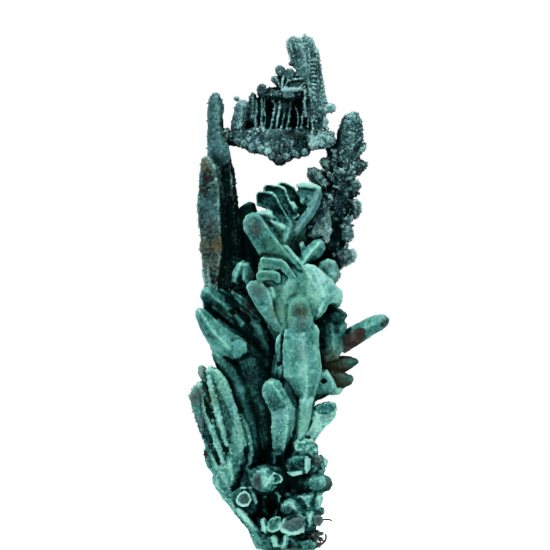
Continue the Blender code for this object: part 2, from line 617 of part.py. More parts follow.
def build():
    """Makes the six solids, each cut clear of those made before it."""
    dark = patina("dark_druse", (0.02, 0.09, 0.10), 0.75, 0.0)
    teal = patina("teal_malachite", (0.16, 0.42, 0.36), 0.85, 0.0)
    mottled = patina("mottled_copper", (0.22, 0.25, 0.18), 0.7, 0.2)
    below = box_mesh((-40.0, -40.0, -20.0), (40.0, 40.0, 0.0))

    roots = root_core() + root_stubs() + root_flanks() + root_wires() + lower_front()
    pits = [crystal_mesh(pit) for pit in root_pits()]
    grown_solid("root_cluster", teal, roots, cutters=[below] + pits)
    root_mass = root_core() + root_flanks() + lower_front()

    stem = stem_core() + left_flank() + stepped_plates() + heart()
    stem += middle_blade() + right_flank() + back_of_stem()
    pits = [crystal_mesh(pit) for pit in stem_pits()]
    grown_solid("stem_cluster", teal, stem, neighbours=root_mass, cutters=pits)

    fan = left_fan()
    grown_solid("left_fan", teal, fan, neighbours=root_mass + root_stubs() + stem)

    spire = left_spire()
    grown_solid("left_spire", mottled, spire, neighbours=stem)

    right = frond_spine() + frond_end_lobes() + frond_lobes()
    grown_solid("right_frond", dark, right, neighbours=stem)

    crown = crown_band() + crown_ribs() + crown_fringe() + crown_mast() + crown_lobes()
    grown_solid("crown_frond", dark, crown, neighbours=spire + right)


clear_scene()
build()
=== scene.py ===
"""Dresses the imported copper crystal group: crystals, druse, wires and skin over the solids of the frame.

Tables are in millimetres, the scene in metres. +Z is up, -Y the showing side. Every crystal is a surface of two
parameters, its place along the axis and its turn round it. The crystals of a branch are fused into one skin,
which then takes the bumps, the grains and the colours of the malachite that covers the copper.
"""

import logging
import math
from dataclasses import dataclass, field
from enum import Enum
from typing import ClassVar

import bmesh
import bpy
import numpy as np
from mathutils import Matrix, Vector


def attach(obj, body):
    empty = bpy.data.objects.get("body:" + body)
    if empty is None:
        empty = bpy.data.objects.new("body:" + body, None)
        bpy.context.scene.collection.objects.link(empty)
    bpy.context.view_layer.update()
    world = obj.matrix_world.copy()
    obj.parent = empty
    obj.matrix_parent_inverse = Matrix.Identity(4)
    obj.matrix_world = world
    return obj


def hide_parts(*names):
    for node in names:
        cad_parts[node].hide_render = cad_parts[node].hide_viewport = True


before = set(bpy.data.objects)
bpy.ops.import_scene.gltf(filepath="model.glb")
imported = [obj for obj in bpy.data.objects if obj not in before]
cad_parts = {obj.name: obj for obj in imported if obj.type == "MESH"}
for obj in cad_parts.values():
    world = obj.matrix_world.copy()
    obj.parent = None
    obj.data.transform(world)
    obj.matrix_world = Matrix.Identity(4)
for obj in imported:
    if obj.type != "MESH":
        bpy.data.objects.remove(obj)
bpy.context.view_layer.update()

LOG = logging.getLogger("copper_group")

MM = 0.001
SKIN_VOXEL = 0.21          # grid step of a fused skin, in millimetres as every size below
FINE_VOXEL = 0.17          # grid step of the thin, ribbed crown
CROWN_Y = 1.2              # where the middles of the three flat branches lie
RIGHT_FROND_Y = 3.0
LEFT_FAN_Y = -0.6
LOZENGE = 0.42             # half width of a crystal's front facet, as a share of its own half width

HASH_AXES = (374761393, 668265263, 2246822519)
HASH_ROUNDS = ((13, 1274126177), (16, 2654435761), (15, 1))     # bits to shift by, number to multiply by
SEED_STEP = 31             # from one layer of noise to the next
GOLDEN = 0.618034          # steps of this size spread numbers evenly from 0 to 1
OCTAHEDRON = 6             # corners of a loose grain
BELT_SHARE = 0.62          # its width as a share of its length

Point = tuple[float, float, float]
Colour = tuple[float, float, float]
Array = np.ndarray

SECTIONS: dict[int, tuple[tuple[float, float], ...]] = {
    6: ((1.0, 0.0), (LOZENGE, 1.0), (-LOZENGE, 1.0), (-1.0, 0.0), (-LOZENGE, -1.0), (LOZENGE, -1.0)),
    4: ((1.0, 0.0), (0.0, 1.0), (-1.0, 0.0), (0.0, -1.0)),
}


# ------------------------------------------------------------------ noise over whole arrays


def lattice(cell: Array, seed: int) -> Array:
    """A fixed random number from 0 to 1 for each whole-numbered cell: its three numbers mixed by a hash.

    Args:
        cell: whole numbers, shape (n, 3).
        seed: picks another set of numbers.

    Returns:
        One number per row.
    """
    key = cell.astype(np.int64).astype(np.uint32)
    mixed = np.uint32(seed * 40503 + 17)
    for axis, factor in enumerate(HASH_AXES):
        mixed = mixed + key[:, axis] * np.uint32(factor)
    for shift, factor in HASH_ROUNDS:
        mixed = (mixed ^ (mixed >> np.uint32(shift))) * np.uint32(factor)
    return mixed.astype(np.float64) / (2.0**32 - 1.0)


def smooth_noise(points: Array, size: float, seed: int) -> Array:
    """Value noise from -1 to 1: random numbers at lattice corners, blended by 3t^2 - 2t^3 in each direction.

    Args:
        points: places in millimetres, shape (n, 3).
        size: width of a lattice cell in millimetres.
        seed: picks another noise.

    Returns:
        One number per point.
    """
    scaled = points / size
    base = np.floor(scaled)
    part = scaled - base
    part = part * part * (3.0 - 2.0 * part)
    total = np.zeros(len(points))
    for corner in np.ndindex(2, 2, 2):
        weight = np.prod(np.where(np.array(corner) == 1, part, 1.0 - part), axis=1)
        total += weight * lattice(base + np.array(corner), seed)
    return total * 2.0 - 1.0


def layered_noise(points: Array, size: float, layers: int, seed: int) -> Array:
    """Sum of smooth noises, each of half the size and half the height of the one before.

    Args:
        points: places in millimetres, shape (n, 3).
        size: cell width of the first layer.
        layers: number of layers.
        seed: picks another noise.

    Returns:
        One number per point, about -1 to 1.
    """
    total = np.zeros(len(points))
    height = 1.0
    for layer in range(layers):
        total += height * smooth_noise(points, size / 2.0**layer, seed + SEED_STEP * layer)
        height *= 0.5
    return total / 1.5


def grain_noise(points: Array, size: float, seed: int) -> Array:
    """Rounded grains: 1 at the middle of a grain, falling to 0 half way to the next one.

    Each lattice cell holds one grain at a random place, and the value is 1 less the distance to the nearest
    grain, in cell widths.

    Args:
        points: places in millimetres, shape (n, 3).
        size: mean distance between grains.
        seed: picks other grains.

    Returns:
        One number per point, from 0 to 1.
    """
    scaled = points / size
    base = np.floor(scaled)
    nearest = np.full(len(points), np.inf)
    for corner in np.ndindex(3, 3, 3):
        cell = base + (np.array(corner) - 1)
        jitter = np.stack([lattice(cell, seed + 7 * axis) for axis in range(3)], axis=1)
        nearest = np.minimum(nearest, np.sum((cell + jitter - scaled) ** 2, axis=1))
    return np.clip(1.0 - np.sqrt(nearest), 0.0, 1.0)


# ------------------------------------------------------------------ meshes from arrays


@dataclass
class Shell:
    """A closed surface held as arrays: points in millimetres, faces of four corners and of three.

    crease tells for each point how near an edge of the crystal is, from 0 to 1.
    """

    points: Array
    quads: Array
    tris: Array
    crease: Array


def joined(shells: list[Shell]) -> Shell:
    """Puts several shells into one, with the corner numbers of each moved past the points before it.

    Args:
        shells: the shells, at least one.

    Returns:
        One shell that holds them all.
    """
    starts = np.cumsum([0] + [len(s.points) for s in shells[:-1]])
    return Shell(
        np.concatenate([s.points for s in shells]),
        np.concatenate([s.quads + start for s, start in zip(shells, starts)]),
        np.concatenate([s.tris + start for s, start in zip(shells, starts)]),
        np.concatenate([s.crease for s in shells]),
    )


def mesh_of(name: str, shell: Shell, unit: float = 1.0) -> bpy.types.Mesh:
    """Writes a shell into a new mesh.

    Args:
        name: name of the mesh.
        shell: the surface.
        unit: what one millimetre of the shell measures in the mesh.

    Returns:
        The mesh.
    """
    mesh = bpy.data.meshes.new(name)
    corners = np.concatenate([shell.quads.ravel(), shell.tris.ravel()]).astype(np.int32)
    sizes = np.concatenate([np.full(len(shell.quads), 4), np.full(len(shell.tris), 3)])
    starts = np.concatenate([[0], np.cumsum(sizes)[:-1]]).astype(np.int32)
    mesh.vertices.add(len(shell.points))
    mesh.vertices.foreach_set("co", (shell.points * unit).astype(np.float32).ravel())
    mesh.loops.add(len(corners))
    mesh.loops.foreach_set("vertex_index", corners)
    mesh.polygons.add(len(sizes))
    mesh.polygons.foreach_set("loop_start", starts)
    mesh.update(calc_edges=True)
    mesh.validate()
    return mesh


def unit_rows(vectors: Array) -> Array:
    """Each row divided by its length."""
    return vectors / np.linalg.norm(vectors, axis=1, keepdims=True)


def ring_shell(rings: Array, creases: Array | None = None) -> Shell:
    """Closes a grid of rings, shape (rows, turn, 3), into a tube with a fan of triangles over each end.

    Args:
        rings: the rings from root to tip, each turning anticlockwise as seen from the tip.
        creases: how near an edge each point of the grid is, shape (rows, turn).

    Returns:
        The closed shell, with faces outwards.
    """
    rows, turn = rings.shape[:2]
    grid = np.arange(rows * turn).reshape(rows, turn)
    low, high = grid[:-1], grid[1:]
    quads = np.stack([low, np.roll(low, -1, 1), np.roll(high, -1, 1), high], axis=-1).reshape(-1, 4)
    root, tip = rows * turn, rows * turn + 1
    first, last = grid[0], grid[-1]
    fan_low = np.stack([np.roll(first, -1), first, np.full(turn, root)], axis=-1)
    fan_high = np.stack([last, np.roll(last, -1), np.full(turn, tip)], axis=-1)
    points = np.concatenate([rings.reshape(-1, 3), rings[:1].mean(1), rings[-1:].mean(1)])
    crease = np.zeros(len(points))
    if creases is not None:
        crease[:-2] = creases.ravel()
        crease[-2:] = creases[0].mean(), creases[-1].mean()
    return Shell(points, quads, np.concatenate([fan_low, fan_high]), crease)


# ------------------------------------------------------------------ one crystal


@dataclass(frozen=True)
class Crystal:
    """One blade that widens from its root to a shoulder and ends in a small cut tip.

    root and tip are the ends of its axis; width runs across the view and depth along it. shoulder is where it
    is widest, point and root_share are the end rings' shares of that, roll turns it about its axis in degrees,
    and skew leans the shoulder and the tip to one side. bow bends the axis to the side and sag towards its own
    back, in millimetres; waist narrows the middle; hollow sinks the faces between the edges; ledges is the
    number of growth steps; tone makes it paler (up to 1) or darker (down to -1) than its neighbours. The tone
    is partly the crystal's own colour and partly painted light and shade: the darkest tones are painted shade
    on crystals that sit behind others.
    """

    root: Point
    tip: Point
    width: float
    depth: float
    shoulder: float = 0.8
    point: float = 0.4
    root_share: float = 0.8
    roll: float = 0.0
    skew: float = 0.25
    facets: int = 6
    bow: float = 0.0
    sag: float = 0.0
    waist: float = 0.0
    hollow: float = 0.10
    ledges: int = 3
    tone: float = 0.0

    def length(self) -> float:
        """Length of the straight axis."""
        return float(np.linalg.norm(np.subtract(self.tip, self.root)))

    def directions(self) -> Array:
        """The crystal's own directions as rows: along its axis, across the view, through its depth."""
        along = np.subtract(self.tip, self.root) / self.length()
        view = np.array((0.0, 1.0, 0.0))
        if abs(along @ view) > 0.9:
            view = np.array((0.0, 0.0, 1.0))
        across = np.cross(along, view)
        across /= np.linalg.norm(across)
        through = np.cross(across, along)
        turn = math.radians(self.roll)
        turned = across * math.cos(turn) + np.cross(along, across) * math.sin(turn)
        turned_through = through * math.cos(turn) + np.cross(along, through) * math.sin(turn)
        return np.array((along, turned, turned_through))

    def axis_at(self, place: Array) -> Array:
        """Points of the bent axis: the straight line plus 4t(1 - t) times bow across and sag through.

        Args:
            place: shares of the length, any shape.

        Returns:
            Points, with one more dimension of 3.
        """
        along, across, through = self.directions()
        arch = 4.0 * place * (1.0 - place)
        line = np.asarray(self.root) + place[..., None] * along * self.length()
        return line + arch[..., None] * (across * self.bow + through * self.sag)

    def share_at(self, place: Array) -> Array:
        """Share of the full width: straight from root to shoulder to tip, less the waist, less the ledges.

        Each ledge lets the width grow slowly and drop back at once, so that the faces climb in low steps.

        Args:
            place: shares of the length.

        Returns:
            One share per place.
        """
        share = np.interp(place, (0.0, self.shoulder, 1.0), (self.root_share, 1.0, self.point))
        share = share * (1.0 - self.waist * np.exp(-(((place - 0.42) / 0.2) ** 2)))
        if self.ledges:
            step = (place * self.ledges + 0.37 * self.width) % 1.0
            share = share * (1.0 + 0.07 * (step - 0.5) * (place < self.shoulder))
        return share

    def shell(self) -> Shell:
        """The closed surface over t, the place along the axis, and s, the turn round the section.

        A point is the axis at t plus across and through times the half sizes, the share at t and the section
        at s. The section runs straight from corner to corner, sunk between them by hollow. The shoulder's
        ring leans by skew. The end is a low dome.

        Returns:
            The shell in millimetres.
        """
        along, across, through = self.directions()
        length = self.length()
        rows = max(10, int(length / 0.45))
        per_side = 6 if self.facets == 6 else 5
        place = np.linspace(0.0, 1.0, rows)
        dome = np.radians((30.0, 55.0, 78.0))
        share = np.concatenate([self.share_at(place), self.point * np.cos(dome)])
        rise = np.concatenate([place * length, length + 0.22 * self.width * self.point * np.sin(dome)])
        lean = np.interp(rise / length, (0.0, self.shoulder, 1.0), (0.0, self.skew, self.skew * self.point))
        corners = np.array(SECTIONS[self.facets])
        side = np.arange(self.facets * per_side) / per_side
        first = side.astype(int)
        part = (side - first)[:, None]
        outline = corners[first] * (1.0 - part) + corners[(first + 1) % self.facets] * part
        outline = outline * (1.0 - self.hollow * 4.0 * part * (1.0 - part))
        centre = self.axis_at(np.clip(rise / length, 0.0, 1.0))
        centre = centre + along * np.maximum(rise - length, 0.0)[:, None]
        u = outline[None, :, 0] * share[:, None]
        v = outline[None, :, 1] * share[:, None]
        slope = lean[:, None] * outline[None, :, 0] * self.width / 2
        slope = np.minimum(-slope, np.maximum(length - rise, 0.0)[:, None] + 0.3 * np.abs(slope))
        rings = centre[:, None, :] + along * slope[..., None]
        rings = rings + across * (u * self.width / 2)[..., None]
        rings = rings + through * (v * self.depth / 2)[..., None]
        if np.linalg.det(np.array((across, through, along))) < 0.0:
            rings = rings[:, ::-1]
            part = part[::-1]
        edge = np.clip(1.0 - 4.0 * np.minimum(part, 1.0 - part), 0.0, 1.0)[:, 0]
        shoulder = np.clip(1.0 - np.abs(rise / length - self.shoulder) * length / 0.5, 0.0, 1.0)
        return ring_shell(rings, np.maximum(edge[None, :], shoulder[:, None]) * (self.hollow > 0.0))


def shifted(point: Point, dx: float = 0.0, dy: float = 0.0, dz: float = 0.0) -> Point:
    """A point moved by the given millimetres."""
    return (point[0] + dx, point[1] + dy, point[2] + dz)


def between(start: Point, end: Point, share: float) -> Point:
    """The point at a share of the way from start to end."""
    return tuple(a + (b - a) * share for a, b in zip(start, end))


class Form(Enum):
    """How a facet rises from its outline to its ridge, and how sharp an edge it has on the way.

    The first rows are (share of the way in, share of the drop), the second (share of the way in, sharpness).
    """

    ROOF = (
        ((0.0, 1.0), (0.06, 0.84), (0.5, 0.42), (0.94, 0.03), (1.0, 0.0)),
        ((0.0, 0.7), (0.12, 0.0), (0.88, 0.0), (1.0, 1.0)),
    )
    RIMMED = (
        ((0.0, 0.55), (0.03, 0.1), (0.14, 0.0), (0.22, 0.5), (0.6, 0.8), (1.0, 0.85)),
        ((0.0, 0.8), (0.14, 1.0), (0.2, 0.0), (1.0, 0.0)),
    )
    ROUNDED = (
        ((0.0, 1.0), (0.08, 0.6), (0.25, 0.3), (0.5, 0.1), (1.0, 0.0)),
        ((0.0, 0.3), (0.15, 0.0), (1.0, 0.2)),
    )
    TABLE = (
        ((0.0, 1.0), (0.16, 0.1), (0.24, 0.0), (0.6, 0.03), (1.0, 0.06)),
        ((0.0, 0.3), (0.2, 0.9), (0.3, 0.0), (1.0, 0.0)),
    )

    def rows(self) -> list[tuple[float, float, float]]:
        """The share of the way in, the share of the drop and the sharpness of each ring."""
        profile, sharpness = self.value
        return [(share, fall, float(np.interp(share, *zip(*sharpness)))) for share, fall in profile]


class Tint(Enum):
    """What stains a crystal or a place: the channel of the growth colours that it fills."""

    NONE = -1
    COPPER = -1                 # another name of NONE, for a place where the copper is bare
    OCHRE = 0
    BLUE = 1
    # the lilac is partly a grey-lilac colour and partly a painted sheen
    LILAC = 2
    GREEN = 3


@dataclass(frozen=True)
class Gem:
    """A crystal given by what it shows: an outline in X and Z, and a ridge of points that face the front.

    The front climbs from the outline to the nearest point of the ridge by its form. drop is how far the
    outline lies behind the ridge and thick how far the back does; the back is smaller by shrink.
    """

    outline: tuple[tuple[float, float], ...]
    ridge: tuple[Point, ...]
    drop: float = 1.0
    thick: float = 3.0
    form: Form = Form.ROOF
    tone: float = 0.0
    tint: Tint = Tint.NONE
    shrink: float = 0.7
    step: float = 0.22

    def edge_points(self) -> tuple[Array, Array]:
        """The outline walked in equal steps, and how near each step is to a corner, from 0 to 1."""
        corners = np.array(self.outline)
        area = np.sum(corners[:, 0] * np.roll(corners[:, 1], -1) - np.roll(corners[:, 0], -1) * corners[:, 1])
        if area < 0.0:
            corners = corners[::-1]
        closed = np.vstack([corners, corners[:1]])
        reach = np.concatenate([[0.0], np.cumsum(np.linalg.norm(np.diff(closed, axis=0), axis=1))])
        count = max(16, int(reach[-1] / self.step))
        walk = np.linspace(0.0, reach[-1], count, endpoint=False)
        places = np.stack([np.interp(walk, reach, closed[:, i]) for i in range(2)], axis=1)
        gap = np.abs(walk[:, None] - reach[None, :]).min(axis=1)
        return places, np.clip(1.0 - gap / 0.6, 0.0, 1.0)

    def nearest_ridge(self, places: Array) -> Array:
        """For each outline point the nearest point of the ridge, measured in X and Z."""
        ridge = np.array(self.ridge)
        if len(ridge) == 1:
            return np.repeat(ridge, len(places), axis=0)
        best = np.full(len(places), np.inf)
        found = np.zeros((len(places), 3))
        for start, end in zip(ridge[:-1], ridge[1:]):
            flat = (end - start)[[0, 2]]
            share = np.clip((places - start[[0, 2]]) @ flat / (flat @ flat), 0.0, 1.0)
            spot = start + share[:, None] * (end - start)
            far = np.linalg.norm(spot[:, [0, 2]] - places, axis=1)
            found[far < best] = spot[far < best]
            best = np.minimum(best, far)
        return found

    def shell(self) -> Shell:
        """The closed surface over the walk round the outline and the way in from the back to the ridge.

        Behind the outline the rings shrink towards the ridge line while they go back by thick. In front they
        close in on the ridge by the form's rows.

        Returns:
            The shell in millimetres.
        """
        places, corner = self.edge_points()
        ridge = self.nearest_ridge(places)
        rows = [(1.0, self.thick, 0.0), (1.0 - self.shrink, self.thick, 0.0)]
        rows += [(0.5 * (1.0 - self.shrink), 0.5 * (self.thick + self.drop), 0.0)]
        rows += [(share, fall * self.drop, crease) for share, fall, crease in self.form.rows()]
        rings, creases = [], []
        for share, back, crease in rows:
            flat = places + (ridge[:, [0, 2]] - places) * share
            rings.append(np.stack([flat[:, 0], ridge[:, 1] + back, flat[:, 1]], axis=1))
            creases.append(np.maximum(crease, 0.6 * corner * (self.form is Form.ROOF)))
        return ring_shell(np.array(rings), np.array(creases))


@dataclass(frozen=True)
class Wire:
    """A thin bent wire through a few points, as a round tube that tapers to both ends."""

    route: tuple[Point, ...]
    radius: float = 0.17
    tone: float = 0.0

    def shell(self) -> Shell:
        """A round profile along a smooth path: the route's points joined by a Catmull-Rom curve.

        Returns:
            The shell in millimetres.
        """
        route = np.array(self.route)
        padded = np.vstack([2 * route[0] - route[1], route, 2 * route[-1] - route[-2]])
        share = np.linspace(0.0, 1.0, 9)[:-1, None]
        pieces = []
        for a, b, c, d in zip(padded[:-3], padded[1:-2], padded[2:-1], padded[3:]):
            curve = 2 * b + (c - a) * share + (2 * a - 5 * b + 4 * c - d) * share**2
            pieces.append(0.5 * (curve + (3 * b - a - 3 * c + d) * share**3))
        path = np.vstack(pieces + [route[-1:]])
        along = unit_rows(np.gradient(path, axis=0))
        aside = unit_rows(np.cross(along, (0.31, 0.86, 0.4)))
        other = np.cross(along, aside)
        turn = np.linspace(0.0, 2 * math.pi, 10, endpoint=False)
        place = np.linspace(0.0, 1.0, len(path))
        thick = self.radius * (0.55 + 0.45 * np.sqrt(np.clip(4 * place * (1 - place), 0.0, 1.0)))
        spokes = aside[:, None, :] * np.cos(turn)[:, None] + other[:, None, :] * np.sin(turn)[:, None]
        return ring_shell(path[:, None, :] + spokes * thick[:, None, None])


Shape = Crystal | Gem | Wire


# ------------------------------------------------------------------ finishes


@dataclass
class Nodes:
    """Builds the node tree of a material or of the world step by step."""

    owner: bpy.types.Material | bpy.types.World

    @classmethod
    def new(cls, name: str) -> "Nodes":
        """A new material with an empty tree of its own."""
        material = bpy.data.materials.new(name)
        material.use_nodes = True
        material.node_tree.nodes.clear()
        return cls(material)

    def add(self, kind: str, settings: dict | None = None, **inputs: object) -> bpy.types.Node:
        """Adds a node; an input given as a socket is linked, any other value is set on the input.

        Args:
            kind: type name of the node.
            settings: properties of the node itself.
            **inputs: input sockets by name with underscores for spaces, or _0, _1 for numbered ones.

        Returns:
            The node.
        """
        node = self.owner.node_tree.nodes.new(kind)
        for key, value in (settings or {}).items():
            setattr(node, key, value)
        for key, value in inputs.items():
            name = int(key[1:]) if key[0] == "_" else key.replace("_", " ")
            socket = node.inputs[name]
            if isinstance(value, bpy.types.NodeSocket):
                self.owner.node_tree.links.new(value, socket)
            else:
                socket.default_value = value
        return node

    def mixed(self, share: object, a: object, b: object, blend: str = "MIX") -> bpy.types.NodeSocket:
        """A colour between a and b."""
        node = self.add("ShaderNodeMix", {"data_type": "RGBA", "blend_type": blend}, _0=share, _6=a, _7=b)
        return node.outputs[2]

    def maths(self, operation: str, a: object, b: object = 0.0, clamp: bool = False) -> bpy.types.NodeSocket:
        """One number out of two."""
        return self.add("ShaderNodeMath", {"operation": operation, "use_clamp": clamp}, _0=a, _1=b).outputs[0]

    def times(self, a: object, b: object, clamp: bool = False) -> bpy.types.NodeSocket:
        """Two numbers multiplied."""
        return self.maths("MULTIPLY", a, b, clamp)

    def spread(self, value: object, low: float, high: float) -> bpy.types.NodeSocket:
        """A value's range from low to high, stretched to run from 0 to 1."""
        return self.add("ShaderNodeMapRange", None, Value=value, From_Min=low, From_Max=high).outputs[0]

    def channels(self, colour: object) -> bpy.types.NodeOutputs:
        """A colour's red, green and blue."""
        return self.add("ShaderNodeSeparateColor", None, Color=colour).outputs

    def place(self) -> bpy.types.NodeSocket:
        """Places in the object's own space."""
        return self.add("ShaderNodeTexCoord").outputs["Object"]

    def noise(
        self, where: object, scale: float, detail: float = 3.0, rough: float = 0.6
    ) -> bpy.types.NodeSocket:
        """Fractal noise in the object's own space, scale in turns per metre."""
        node = self.add("ShaderNodeTexNoise", None, Vector=where, Scale=scale, Detail=detail, Roughness=rough)
        return node.outputs["Fac"]

    def surface(self, **inputs: object) -> None:
        """Ends the tree with a principled surface that has the given inputs."""
        shader = self.add("ShaderNodeBsdfPrincipled", None, **inputs)
        self.add("ShaderNodeOutputMaterial", None, Surface=shader.outputs[0])

    def ramp(self, factor: object, stops: list[tuple[float, Colour]]) -> bpy.types.NodeSocket:
        """A colour ramp with the given stops."""
        node = self.add("ShaderNodeValToRGB", None, Fac=factor)
        ramp = node.color_ramp
        while len(ramp.elements) < len(stops):
            ramp.elements.new(0.5)
        for element, (place, colour) in zip(ramp.elements, stops):
            element.position = place
            element.color = (*colour, 1.0)
        return node.outputs["Color"]


STAIN_COLOURS: tuple[Colour, ...] = (
    # ochre, blue, lilac and green; the lilac is partly a grey-lilac colour and partly a painted sheen
    (0.075, 0.072, 0.028),
    (0.032, 0.130, 0.145),
    (0.062, 0.098, 0.100),
    (0.080, 0.280, 0.200),
)
STAIN_RANGE = (0.35, 1.5)                     # from a stain's dark parts to its light ones
COATING_STOPS = (0.06, 0.32, 0.62, 0.95)      # shades that are deep, shade, middle and pale
COPPER_TONES = [(0.3, (0.004, 0.003, 0.003)), (0.5, (0.020, 0.015, 0.012)), (0.75, (0.070, 0.056, 0.048))]
BUMP_DEPTH = 0.00012                          # in metres


@dataclass(frozen=True)
class Coating:
    """A mineral skin over copper, painted by the colours that the mesh carries.

    The first colour layer holds the shade with its painted light and shade, the masks of the painted rim
    highlight and of the painted shade where the group shuts a place in, and bare copper; the growth colours hold
    ochre, blue, lilac and green stains, the lilac partly a painted sheen. sparkle is how much of the skin is
    bright crystal faces.
    """

    name: str
    deep: Colour
    shade: Colour
    middle: Colour
    pale: Colour
    cast: Colour               # what broad blotches of it are multiplied by
    roughness: float
    sparkle: float
    gloss: float
    bump: float
    grain: float               # turns per metre of the finest grain
    mottle: float = 0.8        # how strongly it varies from place to place
    draw: float = 1.0          # how much the blotches shorten along Z, less than 1 for upright streaks

    def material(self) -> bpy.types.Material:
        """Makes the material.

        Returns:
            The material.
        """
        tree = Nodes.new(self.name)
        where = tree.place()
        patina_and_shade = tree.add("ShaderNodeVertexColor", {"layer_name": "patina_and_shade"}).outputs
        growth = tree.add("ShaderNodeVertexColor", {"layer_name": "growth"}).outputs
        shade = tree.channels(patina_and_shade["Color"])[0]
        drawn = tree.add("ShaderNodeMapping", None, Vector=where, Scale=(1.0, 1.0, self.draw)).outputs[0]
        fine = tree.noise(where, self.grain, 4.0, 0.7)
        broad = tree.noise(drawn, 420.0, 4.0, 0.65)
        factor = shade
        for noise, strength in ((fine, 1.0), (broad, 1.1)):
            swing = tree.times(tree.maths("SUBTRACT", noise, 0.5), strength * self.mottle)
            factor = tree.maths("ADD", factor, swing, clamp=noise is broad)
        stops = zip(COATING_STOPS, (self.deep, self.shade, self.middle, self.pale))
        hue = tree.times(tree.spread(tree.noise(drawn, 260.0), 0.42, 0.62), 0.75)
        colour = tree.mixed(hue, tree.ramp(factor, list(stops)), (*self.cast, 1.0), "MULTIPLY")
        blotch = tree.noise(where, 900.0, 3.0, 0.65)
        stains = tree.channels(growth["Color"])
        for cover, stain in zip((stains[0], stains[1], stains[2], growth["Alpha"]), STAIN_COLOURS):
            soft = tree.times(cover, tree.maths("ADD", blotch, 0.45), clamp=True)
            dark, light = ((*(part * value for value in stain), 1.0) for part in STAIN_RANGE)
            colour = tree.mixed(soft, colour, tree.mixed(tree.times(factor, 0.75), dark, light))
        bare = tree.times(patina_and_shade["Alpha"], tree.maths("ADD", blotch, 0.4), clamp=True)
        bare = tree.spread(bare, 0.35, 0.6)
        colour = tree.mixed(bare, colour, tree.ramp(broad, COPPER_TONES))
        rough = tree.maths("SUBTRACT", self.roughness, tree.times(bare, 0.25))
        if self.sparkle:
            cells = tree.add("ShaderNodeTexVoronoi", None, Vector=where, Scale=self.grain)
            glint = tree.spread(tree.channels(cells.outputs["Color"])[0], 0.62, 0.9)
            rough = tree.maths("SUBTRACT", rough, tree.times(glint, self.sparkle), clamp=True)
        height = tree.maths("ADD", fine, tree.times(broad, 0.6))
        bump = tree.add("ShaderNodeBump", None, Strength=self.bump, Distance=BUMP_DEPTH, Height=height)
        tree.surface(
            Base_Color=colour,
            Roughness=rough,
            Metallic=tree.times(bare, 0.4),
            # the specular follows the shade, so reflections dim where shade is painted
            Specular_IOR_Level=tree.times(shade, self.gloss),
            Normal=bump.outputs[0],
        )
        return tree.owner


@dataclass(frozen=True)
class DarkWire:
    """Bare copper wire gone almost black."""

    name: str = "tarnished_wire"

    def material(self) -> bpy.types.Material:
        """Makes the material.

        Returns:
            The material.
        """
        tree = Nodes.new(self.name)
        spots = tree.noise(tree.place(), 1500.0)
        colour = tree.ramp(spots, [(0.35, (0.012, 0.014, 0.013)), (0.7, (0.07, 0.05, 0.035))])
        tree.surface(Base_Color=colour, Roughness=0.55, Metallic=0.5)
        return tree.owner


MALACHITE = Coating(
    "chalky_malachite",
    deep=(0.001, 0.008, 0.008),
    shade=(0.012, 0.085, 0.074),
    middle=(0.070, 0.29, 0.245),
    pale=(0.27, 0.60, 0.50),
    cast=(0.92, 0.86, 0.98),
    roughness=0.78,
    sparkle=0.0,
    gloss=0.35,
    bump=0.5,
    grain=2600.0,
    draw=0.6,
)
MOTTLED = Coating(
    "mottled_malachite",
    deep=(0.001, 0.006, 0.006),
    shade=(0.012, 0.050, 0.048),
    middle=(0.050, 0.17, 0.16),
    pale=(0.20, 0.44, 0.40),
    cast=(1.12, 0.85, 0.79),
    roughness=0.62,
    sparkle=0.25,
    gloss=0.6,
    bump=0.7,
    grain=3000.0,
    mottle=1.7,
    draw=0.45,
)
DRUSE = Coating(
    "dark_druse",
    deep=(0.001, 0.005, 0.006),
    shade=(0.006, 0.035, 0.038),
    middle=(0.032, 0.135, 0.135),
    pale=(0.26, 0.50, 0.47),
    cast=(0.8, 0.85, 0.95),
    roughness=0.58,
    sparkle=0.4,
    gloss=0.7,
    bump=0.8,
    grain=3400.0,
    mottle=1.4,
)


# ------------------------------------------------------------------ fused skins


@dataclass(frozen=True)
class Patch:
    """A stain round a place: its channel, its reach in millimetres and its strength."""

    place: Point
    reach: float
    tint: Tint = Tint.COPPER
    strength: float = 1.0


TINT_STEPS = 3.0           # a label's tint is stored in thirds


def label_mesh(name: str, shapes: list[Shape]) -> bpy.types.Mesh:
    """The shells of all shapes in one mesh, with a colour on each point that tells what it belongs to.

    The colour holds the shape's tone, which is partly painted light and shade, a number of its own, its tint
    and how near a crease lies, which the painting turns into a painted highlight.

    Args:
        name: name of the mesh.
        shapes: the shapes.

    Returns:
        The mesh, in millimetres.
    """
    shells = [shape.shell() for shape in shapes]
    mesh = mesh_of(name, joined(shells))
    rows = []
    for number, (shape, shell) in enumerate(zip(shapes, shells)):
        tint = shape.tint.value if isinstance(shape, Gem) else Tint.NONE.value
        own = (0.5 + 0.5 * shape.tone, (number * GOLDEN) % 1.0, (tint + 1) / TINT_STEPS)
        rows.append(np.column_stack([np.tile(own, (len(shell.points), 1)), shell.crease]))
    write_layer(mesh, "label", np.concatenate(rows))
    return mesh


def write_layer(mesh: bpy.types.Mesh, name: str, colours: Array) -> None:
    """Adds a colour layer to a mesh, one row of four numbers for each point."""
    layer = mesh.color_attributes.new(name, "FLOAT_COLOR", "POINT")
    layer.data.foreach_set("color", colours.astype(np.float32).ravel())


def read_layer(mesh: bpy.types.Mesh, name: str) -> Array:
    """A colour layer of a mesh, one row of four numbers for each point."""
    flat = np.zeros(len(mesh.vertices) * 4, dtype=np.float32)
    mesh.color_attributes[name].data.foreach_get("color", flat)
    return flat.reshape(-1, 4)


